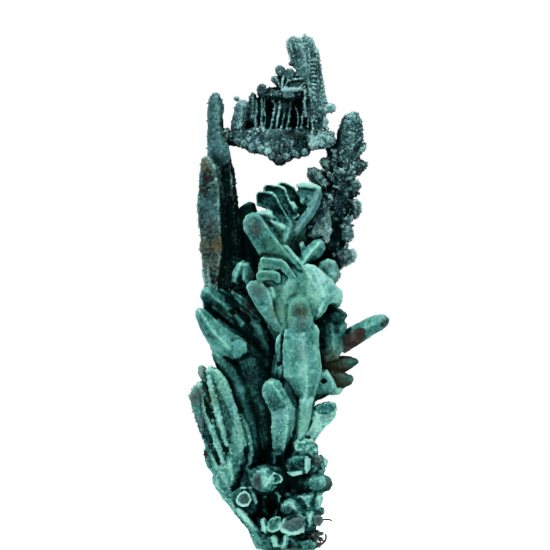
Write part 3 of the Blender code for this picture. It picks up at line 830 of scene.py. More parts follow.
def link(obj: bpy.types.Object) -> bpy.types.Object:
    """Puts an object into the scene."""
    bpy.context.scene.collection.objects.link(obj)
    return obj


def added(name: str, mesh: bpy.types.Mesh) -> bpy.types.Object:
    """A new object with the given mesh, put into the scene."""
    return link(bpy.data.objects.new(name, mesh))


def modify(obj: bpy.types.Object, kind: str, **settings: object) -> None:
    """Adds a modifier with the given settings."""
    modifier = obj.modifiers.new(kind.lower(), kind)
    for key, value in settings.items():
        setattr(modifier, key, value)


def evaluated_mesh(obj: bpy.types.Object) -> bpy.types.Mesh:
    """A new mesh of the object with its modifiers applied."""
    graph = bpy.context.evaluated_depsgraph_get()
    return bpy.data.meshes.new_from_object(obj.evaluated_get(graph), depsgraph=graph)


def fused(
    name: str, shapes: list[Shape], pits: list[Shape], voxel: float, floor: float | None
) -> bpy.types.Mesh:
    """Fuses the shapes into one skin, less the pits and what lies under the floor, and carries the labels over.

    Args:
        name: name of the mesh.
        shapes: closed shapes that overlap.
        pits: shapes to take away.
        voxel: grid step in millimetres.
        floor: height of a flat cut, if there is one.

    Returns:
        The fused mesh in millimetres, with the colour attribute "label".
    """
    source = added(name + ".shapes", label_mesh(name + ".shapes", shapes))
    solid = added(name + ".solid", source.data.copy())
    modify(solid, "REMESH", mode="VOXEL", voxel_size=voxel)
    guides = [source, solid]
    if pits:
        hole = added(name + ".pits", mesh_of(name + ".pits", joined([pit.shell() for pit in pits])))
        modify(solid, "BOOLEAN", operation="DIFFERENCE", solver="EXACT", object=hole)
        modify(solid, "REMESH", mode="VOXEL", voxel_size=voxel)
        guides.append(hole)
    mesh = evaluated_mesh(solid)
    if floor is not None:
        flatten(mesh, floor)
    mesh.color_attributes.new("label", "FLOAT_COLOR", "POINT")
    plain = added(name + ".plain", mesh)
    modify(plain, "DATA_TRANSFER", object=source, use_vert_data=True, data_types_verts={"COLOR_VERTEX"},
           vert_mapping="POLYINTERP_NEAREST")
    labelled = evaluated_mesh(plain)
    for item in (plain, *guides):
        bpy.data.objects.remove(item)
    return labelled


def flatten(mesh: bpy.types.Mesh, floor: float) -> None:
    """Cuts a mesh off flat at a height and closes the cut.

    Args:
        mesh: the mesh, changed in place.
        floor: height of the cut.
    """
    work = bmesh.new()
    work.from_mesh(mesh)
    geometry = work.verts[:] + work.edges[:] + work.faces[:]
    cut = bmesh.ops.bisect_plane(
        work, geom=geometry, plane_co=(0, 0, floor), plane_no=(0, 0, -1), clear_outer=True
    )
    rim = [item for item in cut["geom_cut"] if isinstance(item, bmesh.types.BMEdge)]
    bmesh.ops.holes_fill(work, edges=rim, sides=0)
    bmesh.ops.triangulate(work, faces=[face for face in work.faces if len(face.verts) > 4])
    work.to_mesh(mesh)
    work.free()


def read(mesh: bpy.types.Mesh, path: str) -> Array:
    """Positions or normals of a mesh's vertices, shape (n, 3)."""
    flat = np.zeros(len(mesh.vertices) * 3)
    if path == "normal":
        mesh.vertex_normals.foreach_get("vector", flat)
    else:
        mesh.vertices.foreach_get("co", flat)
    return flat.reshape(-1, 3)


def smoothed(values: Array, edges: Array, rounds: int) -> Array:
    """Each vertex's value averaged with its neighbours', round after round.

    Args:
        values: one row per vertex.
        edges: pairs of vertex numbers.
        rounds: how often.

    Returns:
        The averaged values.
    """
    count = np.zeros(len(values))
    np.add.at(count, edges.ravel(), 1.0)
    result = values.astype(np.float64)
    both = np.concatenate([edges, edges[:, ::-1]])
    order = np.argsort(both[:, 0], kind="stable")
    target, other = both[order, 0], both[order, 1]
    starts = np.searchsorted(target, np.arange(len(values)))
    for _ in range(rounds):
        total = np.add.reduceat(result[other], starts, axis=0)
        result = 0.4 * result + 0.6 * total / count.reshape(-1, *[1] * (result.ndim - 1))
    return result


# ------------------------------------------------------------------ the branches


@dataclass(frozen=True)
class RoughZone:
    """A place with a reach where the skin is coarser: height and distance of its lumps."""

    place: Point
    reach: float
    height: float
    size: float


@dataclass
class Branch:
    """One of the group's branches, which stands for a solid of the same name.

    Subclasses say which shapes it is fused from, what is dug out of it and how rough its skin is.
    """

    node: str
    slot: str
    coating: Coating
    part: str = ""              # name of its own, where the node has more than one branch
    voxel: float = SKIN_VOXEL
    floor: float | None = None
    relief: float = 0.05        # height of the soft grain of the skin
    druse: float = 0.0          # height of the crystal crust
    druse_size: float = 0.6     # distance between its grains
    grains: int = 0             # loose bright grains on it
    base_shade: float = 0.575
    edge_highlight: float = 0.32    # painted highlight: how much paler edges are
    recess_shade: float = 0.85        # painted shade: how much darker it gets where it is shut in
    mesh: bpy.types.Mesh | None = field(default=None, repr=False)

    form_table: ClassVar[str] = ""
    pit_table: ClassVar[str] = ""
    wire_table: ClassVar[str] = ""
    stain_table: ClassVar[str] = ""
    zones: ClassVar[tuple[RoughZone, ...]] = ()

    def shapes(self) -> list[Shape]:
        """The shapes that are fused: those of the table, then those that a subclass works out."""
        return [*table(self.form_table), *self.worked_out()]

    def worked_out(self) -> list[Shape]:
        """Shapes that follow a rule."""
        return []

    def title(self) -> str:
        """What the branch's pieces are called after."""
        return self.part or self.node

    def fuse(self) -> None:
        """Makes the smooth skin."""
        self.mesh = fused(self.title(), self.shapes(), table(self.pit_table), self.voxel, self.floor)
        LOG.info("%s: fused to %d vertices", self.title(), len(self.mesh.vertices))

    def seed(self) -> int:
        """A fixed number of the branch's own for its noises."""
        return sum(ord(letter) for letter in self.title())

    def emboss(self) -> None:
        """Moves the skin along its normals by soft grain and by the rounded grains of the crust."""
        points, normals = read(self.mesh, "co"), read(self.mesh, "normal")
        seed = self.seed()
        lift = layered_noise(points, 1.5, 3, seed) + 1.2 * smooth_noise(points, 0.55, seed + 5)
        lift *= self.relief
        if self.druse:
            cover = 0.65 + 0.5 * smooth_noise(points, 3.5, seed + 9)
            grains = grain_noise(points, self.druse_size, seed + 3) - 0.35
            lift += self.druse * np.clip(cover, 0.2, 1.0) * grains
        for number, zone in enumerate(self.zones):
            far = np.linalg.norm(points - np.array(zone.place), axis=1) / zone.reach
            lumps = grain_noise(points, zone.size, seed + 80 + number) - 0.3
            lift += zone.height * np.clip(1.8 * (1.0 - far), 0.0, 1.0) * lumps
        if self.floor is not None:
            lift *= np.clip((points[:, 2] - self.floor) / 0.4, 0.0, 1.0)
        moved = points + normals * lift[:, None]
        if self.floor is not None:
            moved[:, 2] = np.maximum(moved[:, 2], self.floor)
        self.mesh.vertices.foreach_set("co", moved.astype(np.float32).ravel())
        self.mesh.update()

    def paint(self, around: "Surroundings") -> None:
        """Writes the two colour layers that the coating reads.

        The shade is the shape's tone, itself partly painted light and shade, with more painted light over it:
        painted highlights on edges that stand out, on creases, on small bumps and on faces that look up and to
        the left, and painted shade in dents, in small pits and in places that the group shuts in.

        Args:
            around: where the surfaces of the whole group lie.
        """
        points, normals = read(self.mesh, "co"), read(self.mesh, "normal")
        edges = np.zeros(len(self.mesh.edges) * 2, dtype=np.int32)
        self.mesh.edges.foreach_get("vertices", edges)
        edges = edges.reshape(-1, 2)
        label = smoothed(read_layer(self.mesh, "label"), edges, 2)
        fine = smoothed(points, edges, 3)
        wide = smoothed(fine, edges, 7)
        bulge = np.einsum("ij,ij->i", points - wide, normals) / self.voxel
        crisp = np.einsum("ij,ij->i", points - fine, normals) / self.voxel
        # painted highlight on bulges (rim) and painted shade in dents, by how far the skin stands out from its
        # smoothed self
        rim = np.clip(bulge * 0.9, 0.0, 1.0)
        dent_shade = np.clip(-bulge * 0.9, 0.0, 1.0)
        # painted shade: closed is high where the group shuts a place in from the light
        lit = smoothed(around.openness(points, normals), edges, 4)
        closed = np.clip(1.35 * (1.0 - lit) - 0.2, 0.0, 1.0)
        seed = self.seed()
        wave = layered_noise(points, 4.0, 3, seed + 40)
        shade = self.base_shade + 0.9 * (label[:, 0] - 0.5) + 0.12 * wave + 0.08 * (label[:, 1] - 0.5)
        # painted highlight on rims, and on creases where they are open to the light
        shade += self.edge_highlight * (rim + label[:, 3] * (1.0 - closed))
        # painted highlight on small bumps and painted shade in small pits, full on druse
        shade += 0.25 * np.clip(crisp * 2.0, -1.0, 1.0) * (1.0 if self.druse else 0.3)
        # painted light from above and from the left: faces that look up are paler, and so are faces that look towards
        # -X
        facing = smoothed(normals, edges, 2)
        shade += 0.20 * facing[:, 2] - 0.06 * facing[:, 0] - 0.35 * dent_shade - self.recess_shade * closed
        # the first layer carries the shade with its painted light, the rim highlight mask and the shut-in shade mask,
        # then bare copper
        patina_and_shade = np.zeros((len(points), 4), dtype=np.float32)
        growth = np.zeros((len(points), 4), dtype=np.float32)
        patina_and_shade[:, 0], patina_and_shade[:, 1], patina_and_shade[:, 2] = np.clip(shade, 0.0, 1.0), rim, closed
        code = np.rint(label[:, 2] * TINT_STEPS).astype(int) - 1
        for tint in (Tint.OCHRE, Tint.BLUE, Tint.LILAC):
            growth[:, tint.value] = 0.75 * (code == tint.value)
        for number, patch in enumerate(stains(self.stain_table)):
            far = np.linalg.norm((points - np.array(patch.place)) * (1.0, 0.7, 1.0), axis=1) / patch.reach
            far = far + 0.35 * smooth_noise(points, 1.1, seed + 60 + number)
            cover = patch.strength * np.clip(1.6 * (1.0 - far), 0.0, 1.0)
            target = patina_and_shade[:, 3] if patch.tint is Tint.COPPER else growth[:, patch.tint.value]
            np.maximum(target, cover, out=target)
        write_layer(self.mesh, "patina_and_shade", patina_and_shade)
        write_layer(self.mesh, "growth", growth)
        self.mesh.color_attributes.remove(self.mesh.color_attributes["label"])

    def dress(self, obj: bpy.types.Object, material: bpy.types.Material, note: str) -> None:
        """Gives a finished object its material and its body.

        Args:
            obj: the object, already linked.
            material: what it is covered with.
            note: what the log calls it.
        """
        obj.data.materials.clear()
        obj.data.materials.append(material)
        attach(obj, "root")
        LOG.info("%s %s: %d faces", note, obj.name, len(obj.data.polygons))

    def finish(self, material: bpy.types.Material) -> None:
        """Scales the skin to metres, shows it in place of the solid and adds wires and loose grains.

        Args:
            material: the coating's material, shared by branches of the same coating.
        """
        points, normals = read(self.mesh, "co"), read(self.mesh, "normal")
        if self.grains:
            self.add_grains(points, normals, material)
        self.mesh.vertices.foreach_set("co", (points * MM).astype(np.float32).ravel())
        self.mesh.shade_smooth()
        self.mesh.update()
        skin = added(self.title() + "_skin", self.mesh)
        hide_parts(self.node)
        self.dress(skin, material, "skin")
        wires = table(self.wire_table)
        if wires:
            mesh = mesh_of(self.title() + "_wires", joined([wire.shell() for wire in wires]), MM)
            mesh.shade_smooth()
            self.dress(added(self.title() + "_wires", mesh), DarkWire().material(), "wires")

    def add_grains(self, points: Array, normals: Array, material: bpy.types.Material) -> None:
        """Strews small double pyramids over the open parts of the skin, each sunk in it by half.

        Args:
            points: the skin's vertices in millimetres.
            normals: outward directions there.
            material: what the grains are made of.
        """
        random = np.random.default_rng(self.seed())
        patina_and_shade = read_layer(self.mesh, "patina_and_shade")
        open_places = np.nonzero((patina_and_shade[:, 2] < 0.5) & (points[:, 2] > 1.0))[0]
        chosen = random.choice(open_places, min(self.grains, len(open_places)), replace=False)
        count = len(chosen)
        size = random.uniform(0.16, 0.36, count) * (self.druse_size / 0.6)
        axis = unit_rows(normals[chosen] + random.normal(0.0, 0.5, (count, 3)))
        aside = unit_rows(np.cross(axis, random.normal(0.0, 1.0, (count, 3))))
        mesh = mesh_of(self.title() + "_grains", double_pyramids(points[chosen], axis, aside, size), MM)
        values = np.repeat(patina_and_shade[chosen], OCTAHEDRON, axis=0)
        paler = np.repeat(random.uniform(-0.1, 0.4, count), OCTAHEDRON)
        values[:, 0] = np.clip(values[:, 0] + paler, 0.0, 1.0)
        write_layer(mesh, "patina_and_shade", values)
        growth = read_layer(self.mesh, "growth")
        write_layer(mesh, "growth", np.repeat(growth[chosen], OCTAHEDRON, axis=0))
        self.dress(added(self.title() + "_grains", mesh), material, "grains")


def double_pyramids(middles: Array, axis: Array, aside: Array, size: Array) -> Shell:
    """Small crystals, each a square belt with a tip above it and one below.

    Args:
        middles: where they stand, in millimetres.
        axis: unit vectors from middle to upper tip.
        aside: unit vectors from middle to the first corner of the belt.
        size: distances from middle to tip.

    Returns:
        One shell with all of them.
    """
    other = np.cross(axis, aside)
    turn = np.array([0.0, 0.5, 1.0, 1.5]) * math.pi
    belt = aside[:, None, :] * np.cos(turn)[:, None] + other[:, None, :] * np.sin(turn)[:, None]
    belt = belt * (BELT_SHARE * size)[:, None, None]
    tips = np.stack([axis, -axis], axis=1) * size[:, None, None]
    corners = np.concatenate([belt, tips], axis=1) + middles[:, None, :]
    side = np.arange(4)
    upper = np.stack([side, (side + 1) % 4, np.full(4, 4)], axis=1)
    lower = np.stack([(side + 1) % 4, side, np.full(4, 5)], axis=1)
    first = np.arange(len(middles)) * OCTAHEDRON
    faces = np.concatenate([upper, lower])[None] + first[:, None, None]
    no_quads = np.zeros((0, 4), dtype=int)
    return Shell(corners.reshape(-1, 3), no_quads, faces.reshape(-1, 3), np.zeros(OCTAHEDRON * len(middles)))


@dataclass
class Surroundings:
    """A grid of the cells that hold the group's surface, to tell how open to the light a place is."""

    low: Array
    cell: float
    filled: Array
    reach: float = 13.0         # how far a place looks around
    directions: int = 26

    @classmethod
    def of(cls, clouds: list[Array], cell: float = 0.55) -> "Surroundings":
        """Marks the cells that hold surface points.

        Args:
            clouds: surface points of each branch, in millimetres.
            cell: grid step in millimetres.

        Returns:
            The grid.
        """
        points = np.concatenate(clouds)
        low = points.min(axis=0) - 2.0
        size = np.ceil((points.max(axis=0) + 2.0 - low) / cell).astype(int) + 1
        filled = np.zeros(size, dtype=bool)
        filled[tuple(np.floor((points - low) / cell).astype(int).T)] = True
        return cls(low, cell, filled)

    def openness(self, points: Array, normals: Array) -> Array:
        """The share of the half space over each point from which light reaches it, 1 in the open.

        From each point a walk goes out in a fixed set of directions spread evenly over the sphere by the
        golden angle. A direction is shut if the walk meets a filled cell, and counts by its cosine.

        Args:
            points: places in millimetres.
            normals: outward directions there.

        Returns:
            One number per point.
        """
        number = np.arange(self.directions) + 0.5
        height = 1.0 - 2.0 * number / self.directions
        turn = number * math.pi * (3.0 - math.sqrt(5.0))
        flat = np.sqrt(1.0 - height**2)
        rays = np.stack([flat * np.cos(turn), flat * np.sin(turn), height], axis=1)
        limit = np.array(self.filled.shape) - 1
        start = (points + normals * 1.5 * self.cell - self.low) / self.cell
        seen, total = np.zeros(len(points)), np.zeros(len(points))
        for ray in rays:
            slope = normals @ ray
            facing = np.nonzero(slope > 0.12)[0]
            free = np.ones(len(facing), dtype=bool)
            for step in np.arange(1.0, self.reach / self.cell, 1.15):
                index = np.floor(start[facing] + ray * step).astype(int)
                inside = np.all((index >= 0) & (index <= limit), axis=1)
                index = np.clip(index, 0, limit)
                free &= ~(self.filled[index[:, 0], index[:, 1], index[:, 2]] & inside)
            seen[facing] += slope[facing] * free
            total[facing] += slope[facing]
        return seen / np.maximum(total, 1e-6)


def pebble(place: Point, radius: float, tone: float = 0.0, tint: Tint = Tint.NONE) -> Gem:
    """A rounded knob seen as a circle, its front at the given place."""
    turn = [i * math.pi / 5 for i in range(10)]
    outline = tuple((place[0] + radius * math.cos(a), place[2] + radius * math.sin(a)) for a in turn)
    return Gem(outline, (place,), 0.9 * radius, 2.0 * radius, Form.ROUNDED, tone, tint)


COUNTS = ("facets", "ledges")         # sizes of a table's crystal that are whole numbers


def places(text: str) -> tuple[tuple[float, ...], ...]:
    """The places of one row of a table, in millimetres."""
    return tuple(tuple(int(number) / 10.0 for number in place.split(",")) for place in text.split())


def table(text: str) -> list[Shape]:
    """The shapes of a table, in tenths of a millimetre, one to each entry that ends with a semicolon.

    An entry gives a gem's form, drop, thick and tone, then its outline and its ridge. Or it is the word
    crystal with its sizes, then root and tip; the word pebble with its radius and tone, then its place; or
    the word wire with its radius and tone, then its route. Named values may follow the plain ones.

    Args:
        text: the table.

    Returns:
        The shapes in the table's order.
    """
    shapes: list[Shape] = []
    for entry in text.split(";")[:-1]:
        words, *rows = entry.split(":")
        kind, *sizes = words.split()
        pairs = dict(word.split("=") for word in sizes if "=" in word)
        tint = Tint[pairs.pop("tint", "none").upper()]
        named = {key: int(value) if key in COUNTS else float(value) for key, value in pairs.items()}
        plain = [float(word) for word in sizes if "=" not in word]
        if kind == "crystal":
            shapes.append(Crystal(*places(rows[0]), *plain, **named))
        elif kind == "pebble":
            shapes.append(pebble(places(rows[0])[0], *plain, tint))
        elif kind == "wire":
            shapes.append(Wire(places(rows[0]), *plain))
        else:
            drop, thick, tone = plain
            outline, ridge = (places(row) for row in rows)
            shapes.append(Gem(outline, ridge, drop, thick, Form[kind.upper()], tone, tint, **named))
    return shapes


def stains(text: str) -> list[Patch]:
    """The stains of a table: tint or copper, reach and strength, then the place in tenths of a millimetre."""
    found: list[Patch] = []
    for entry in text.split(";")[:-1]:
        words, place = entry.split(":")
        tint, reach, strength = words.split()
        found.append(Patch(places(place)[0], float(reach), Tint[tint.upper()], float(strength)))
    return found


ROOT_PITS = """
crystal 3.8 4.4 .4 .5 .9 skew=0: -30,-120,87 -26,-18,89;
crystal 2 3.6 .4 .5 .9 skew=0: 10,-120,128 6,-24,128;
crystal 1.1 .8 .4 .6 1 skew=0: -18,-120,144 -18,-74,144;
crystal .9 .7 .4 .6 1 skew=0: -70,-120,86 -70,-64,86;
crystal .6 1 .4 .6 1 skew=0: 58,-120,94 56,-64,94;
crystal .5 .7 .4 .6 1 skew=0: -2,-120,28 0,-74,26;
"""
# the club-shaped crystal and its broken neighbour that stand in front of the stem
ROOT_FRONT = """
roof 2.2 4 -.02: -38,294 -28,300 -10,322 0,318 10,304 18,288 20,266 16,234 10,202 -2,184 -16,188 -26,206
  -28,238 -28,274: 2,-96,298 6,-94,266 2,-82,230 -2,-66,198;
roof 2 4 -.32: -46,312 -46,326 -38,338 -24,344 -12,340 -2,324 8,304 10,290 -6,282 -28,282 -38,294:
  -26,-98,336 -14,-102,318 0,-98,292;
roof 1.8 4.2 .76: 42,222 38,248 46,276 60,290 84,298 100,294 104,284 100,264 86,250 66,238 50,224 36,214:
  62,-74,282 66,-70,258 46,-48,226;
table .8 3 -.86: 56,286 66,292 84,298 100,294 102,284 86,274 64,274: 80,-78,288;
crystal 3.2 3.4 .8 .4 .8 tone=-.6: -6,-24,170 -12,-46,300;
crystal 3.2 3.8 .7 .6 tone=.88: 16,-24,170 38,-48,246;
crystal 3.8 3.8 .75 .7 .5 skew=-.3 tone=.89: 30,-30,194 76,-52,276;
"""
# crystals that leave the core sideways and backwards
ROOT_FLANKS = """
crystal 3.8 4 .8 .86 .9 skew=.05 tone=-.3: 10,-30,126 86,-52,135;
crystal 4.4 3.6 .6 .6 tone=-.1: 30,-20,190 50,-54,212;
crystal 3.6 3.6 .6 .6 tone=.9: 36,-20,160 80,-40,178;
crystal 4 3.8 .6 .5: 30,10,140 76,34,160;
crystal 2.8 2.4 .6 .6: 30,-10,80 76,-30,78;
crystal 3 3 .6 .5: 20,-10,24 68,-20,34;
crystal 4.4 3.8 .6 .5 tone=.2: 0,30,60 20,86,86;
crystal 4.8 4.2 .6 .5 tone=.86: -10,30,120 -46,94,146;
crystal 4 3.6 .6 .5: 30,20,120 56,76,136;
crystal 4 3.6 .6 .5 tone=.2: -40,20,60 -86,56,74;
crystal 4.6 3.4 .6 .6: -10,30,20 -26,74,26;
crystal 4.6 4 .6 .5 tone=.1: 0,30,180 36,82,216;
crystal 3 2.6 .6 .5: -20,30,80 -16,82,112;
crystal 3 2.6 .6 .5: 26,30,40 56,64,50;
crystal 3.4 3 .6 .5 tone=-.76: -46,20,110 -88,52,130;
"""
# the low broken stones over the saw cut, the lumps between the stubs and the streaks of the left slope
ROOT_FOOT = """
rounded 1.8 4 -.6: -2,102 22,116 70,118 68,82 60,46 42,36 6,34 -10,58: 34,-75,98 54,-73,74 26,-77,50;
rounded 1.4 4 -1: -58,70 -30,66 -2,70 2,34 -46,26: -30,-74,46;
rounded 1.6 4 -1: -74,162 -38,174 -8,166 2,150 -14,118 -46,110 -72,122: -42,-78,146;
rounded 1.6 4 .15: 22,218 52,220 62,198 74,170 70,150 34,146 10,182: 40,-68,198 62,-62,166;
rounded 1.4 4 -.2: -50,36 -34,44 -6,38 22,38 58,38 66,22 58,4 30,0 -10,0 -42,0 -54,16: -34,-66,22 40,-62,22;
roof 1.2 4 .9: -28,28 -20,36 -10,26 -12,10 -22,10: -20,-80,30 -16,-78,14;
roof 1.4 4 -.05: -12,16 -4,34 4,38 10,26 6,8 -8,4: 0,-84,32 -2,-80,12;
roof 1.1 4 -.94: 6,32 18,32 30,20 26,8 12,8: 12,-81,26 22,-77,14;
rounded 1 4 -.46: 26,22 50,26 66,18 58,4 34,2: 38,-74,16 56,-70,16;
rounded .7 4 .14 tint=lilac: -6,4 14,8 32,6 30,-2 -4,-2: 12,-74,4;
rounded 1 4 -.59: -50,32 -36,38 -24,30 -24,4 -42,0: -34,-70,26 -34,-68,8;
crystal 1.5 1.6 .5 .5 .6 tone=.15: -104,-56,98 -68,-60,54;
crystal 1.1 1.2 .5 .4 .6 tone=.9: -94,-68,86 -70,-72,64;
crystal 1.5 1.6 .5 .5 .6 tone=.9: -84,-64,74 -50,-60,34;
crystal 1.7 1.6 .5 .5 .6 tone=-1: -98,-50,82 -62,-52,38;
crystal 1.8 1.8 .5 .5 .6 tone=-.58: -78,-62,58 -38,-62,6;
"""
# the crystals that point at the viewer, each shown as the facets of its end
ROOT_STUBS = """
crystal 5.2 4.4 .75 .8 .8 roll=10 skew=.05: -37,-15,144 -44,-82,144;
roof 2.4 4 -.12: -68,140 -64,154 -54,160 -46,166 -38,168 -28,162 -18,156 -8,152 -4,144 -8,138 -14,136
  -16,128 -24,122 -38,118 -54,120 -64,128: -50,-94,150 -38,-102,132 -28,-96,146;
table .9 3 -.91 tint=lilac: -66,140 -62,152 -54,158 -48,154 -48,130 -56,122 -64,128: -56,-95,142;
rimmed 1.2 3 -.09: -30,150 -22,158 -10,154 -4,146 -8,138 -20,134 -28,140: -18,-94,146;
crystal 4.6 4.2 .75 .8 .8 skew=.05: -66,-15,106 -80,-70,106;
rounded 2 4 -1: -106,100 -102,118 -92,126 -78,130 -64,128 -56,118 -52,98 -54,80 -66,68 -84,74 -98,86:
  -82,-82,108 -66,-76,90;
rimmed 1 3 .9: -98,102 -92,116 -80,122 -70,116 -66,104 -72,92 -84,90 -94,94: -80,-93,106;
table .35 2 -1 tint=lilac: -88,106 -86,114 -78,116 -72,108 -74,100 -84,98: -80,-91,107;
crystal 1 1.2 .5 .5 .5 skew=0 tone=.45: -70,-74,128 -56,-74,96;
crystal .7 .9 .5 .5 .5 skew=0 tone=.3: -90,-78,126 -74,-78,127;
roof .9 4 -.19: -22,120 -14,122 -8,110 -8,96 -14,96 -16,110: -12,-82,110;
crystal 3.4 3 .75 .72 .8 roll=50 skew=.05: 7,-15,88 9,-82,88;
roof 2.2 4 .08: -10,92 -2,102 12,106 20,100 28,84 32,76 16,70 -2,70 -8,80: 0,-92,94 18,-96,90;
table .5 2 -1 tint=blue: -2,88 6,96 14,88 10,76 0,76: 6,-95,86;
roof 1.2 4 .48: -48,60 -42,70 -36,62 -34,44 -38,38 -46,42: -42,-89,64 -40,-87,44;
rimmed 1.2 4 .16: -34,56 -30,66 -20,72 -8,70 -8,56 -12,44 -24,38 -34,42: -20,-91,60;
rounded 1.2 4 .9: -12,48 -4,66 10,74 28,76 40,68 40,54 30,42 10,36 -8,38: 2,-89,54 28,-86,62;
rounded 1.1 3 -.56 tint=lilac: -6,50 2,64 12,70 26,72 38,66 36,56 26,46 10,42: 4,-96,56 28,-94,64;
roof .9 4 .9: 2,40 22,46 38,50 38,40 22,34 6,34: 22,-89,42;
roof 1.4 4 .06: 38,68 44,78 54,80 60,72 58,56 48,48 40,54: 48,-89,70 48,-87,56;
table 1 3.4 -.56 tint=lilac: 54,70 62,76 72,72 76,60 68,50 58,54: 64,-85,64;
pebble .5 -.5: 69,-78,80;
roof 1.6 4 .09: 22,110 38,116 58,114 54,102 46,82 34,92: 38,-89,108 46,-86,90;
roof 1.4 4 .54: 56,106 64,118 74,116 76,102 70,86 60,82: 68,-83,106 68,-81,92;
rounded 1 4 -.35: 46,98 62,102 70,82 54,74 38,78: 54,-72,88;
rounded 2.6 4 -.37: 12,148 34,154 58,154 78,152 84,138 78,124 66,114 38,110 16,114: 22,-54,132 52,-83,138
  78,-84,138;
rounded 1.4 4 -1 tint=lilac: 76,146 82,150 90,146 94,136 90,126 82,122 76,128: 84,-80,136;
table 1.4 4 -1: 0,170 6,184 20,192 38,192 48,186 50,166 40,154 16,150 4,156: 22,-90,172;
roof .9 3 .44: 36,186 44,190 50,182 50,164 42,154 36,166: 42,-94,182 42,-93,162;
roof .7 3 .89: 2,158 18,162 38,164 32,154 14,150: 10,-92,156 30,-93,158;
rounded 1 3 -.45 tint=lilac: 54,184 60,192 68,190 76,182 68,174 56,174: 64,-74,184;
"""
# the massive copper that the cluster grows from, down through the saw cut
ROOT_CORE = """
crystal 11.6 12.6 .5 .6 .92 skew=.1 tone=-.5: 6,2,-30 -6,8,250;
crystal 8 9.4 .6 .6 .9 tone=-.1: -6,6,-30 -98,10,190;
crystal 6.8 9.6 .6 .6 .9 tone=-.4: 26,2,-30 46,2,206;
crystal 9.6 6.6 .6 .5 .9 tone=-.2: 4,28,-30 -22,42,220;
"""
ROOT_STAINS = """
copper 1 .62: 88,-68,138; copper 1.1 .6: 64,-76,184; copper .9 .6: -18,-86,62; blue .8 .6: -16,-90,152;
copper 1 .4: 26,-94,62; copper 3 .6: 40,50,90; ochre 2.6 .7: -40,60,40;
"""


# curled wires at the lower right
ROOT_WIRES = """
wire .18: 30,-50,36 54,-60,36 64,-66,29 70,-68,23 78,-64,21;
wire .2: 80,-58,35 81,-60,30 80,-64,23 75,-64,17 64,-60,9 50,-54,3;
wire .14: 54,-64,18 63,-69,24 70,-68,19 66,-66,13 58,-64,12;
wire .15: 56,-60,24 61,-65,35 66,-64,38 68,-62,34;
wire .19: 60,-78,64 78,-74,64 86,-70,64 93,-66,61;
wire .13: 52,-62,8 64,-68,16 74,-64,17;
wire .13: 46,-62,32 62,-68,27 70,-66,28 75,-66,24;
"""


@dataclass
class RootCluster(Branch):
    """The massive foot with its end-on stubs, the rough crust, the two front crystals and the wires."""

    form_table = ROOT_CORE + ROOT_STUBS + ROOT_FOOT + ROOT_FLANKS + ROOT_FRONT
    pit_table = ROOT_PITS
    wire_table = ROOT_WIRES
    stain_table = ROOT_STAINS
    zones = (
        RoughZone((4.2, -6.4, 20.6), 3.0, 0.35, 0.8),
        RoughZone((6.8, -5.6, 17.2), 3.2, 0.35, 0.75),
        RoughZone((5.4, -5.0, 2.2), 4.0, 0.30, 0.8),
        RoughZone((-6.6, -5.0, 8.8), 3.6, 0.22, 0.8),
    )

    def worked_out(self) -> list[Shape]:
        """Small knobs in a rough crust on the right side and over the foot."""
        random = np.random.default_rng(11)
        knobs: list[Shape] = []
        for centre, spread, count, radius in (
            ((4.0, -6.4, 20.6), (2.0, 0.6, 1.4), 60, 0.42),
            ((6.2, -5.6, 17.2), (1.3, 0.8, 1.7), 70, 0.42),
            ((-2.0, -5.4, 8.4), (2.6, 0.6, 3.4), 16, 0.6),
            ((5.4, -5.6, 2.2), (2.2, 0.8, 1.3), 18, 0.55),
            ((-7.0, -5.0, 7.4), (2.0, 0.8, 2.4), 20, 0.6),
            ((6.8, 1.0, 12.6), (0.7, 2.6, 3.0), 18, 0.6),
        ):
            offsets = random.uniform(-1.0, 1.0, (count, 3)) * spread
            for offset in offsets:
                place = shifted(centre, *(float(o) for o in offset))
                size, tone = radius * float(random.uniform(0.7, 1.3)), float(random.uniform(-0.3, 0.3))
                knobs.append(pebble(place, size, tone))
        return knobs


# the long crystal that leans out to the right, the dark one behind it and the low olive ones
STEM_RIGHT_FLANK = """
roof 1.3 3.8 -.47: 110,414 116,434 132,446 160,462 180,470 198,470 208,462 206,450 190,436 166,422 136,402
  118,390 108,398: 122,-42,422 162,-56,444 196,-68,460;
crystal 3.8 3.2 .9 .62 1 skew=-.15: 50,-6,388 176,-30,446;
roof 1.1 4 -.46: 56,484 74,492 98,488 112,474 118,458 112,444 120,434 116,398 106,382 78,374 64,394 70,418
  66,446 54,462: 90,-48,466 96,-48,402;
rounded 1.1 3.4 -.98: 78,472 96,480 114,476 122,462 112,450 88,454: 100,-54,466;
roof .8 3 -.51: 96,444 112,458 124,452 120,432 106,424: 112,-52,442;
crystal 6.2 4.6 .65 .5 .9 tone=-.6: 46,6,320 104,-10,476;
rounded 1.1 3.4 -.95: 66,362 74,378 90,386 122,387 144,382 148,374 134,362 106,354: 86,-36,372 138,-28,376;
rounded 1.2 3.6 -.9: 70,338 74,352 94,360 120,354 138,342 132,330 112,318 86,320: 94,-40,344 130,-30,338;
rounded .6 2.4 .89: 82,316 98,324 116,320 110,310 90,308: 98,-40,316;
crystal 3 2.9 .75 .5 tone=-.3: 44,6,340 140,-6,376;
crystal 2.8 2.9 .75 .5 tone=-.3: 40,6,296 133,-2,344;
crystal 3.6 3.2 .7 .7 tone=.1: 34,-16,294 84,-36,344;
crystal 4.4 3.6 .7 .5: 34,20,320 90,56,390;
"""
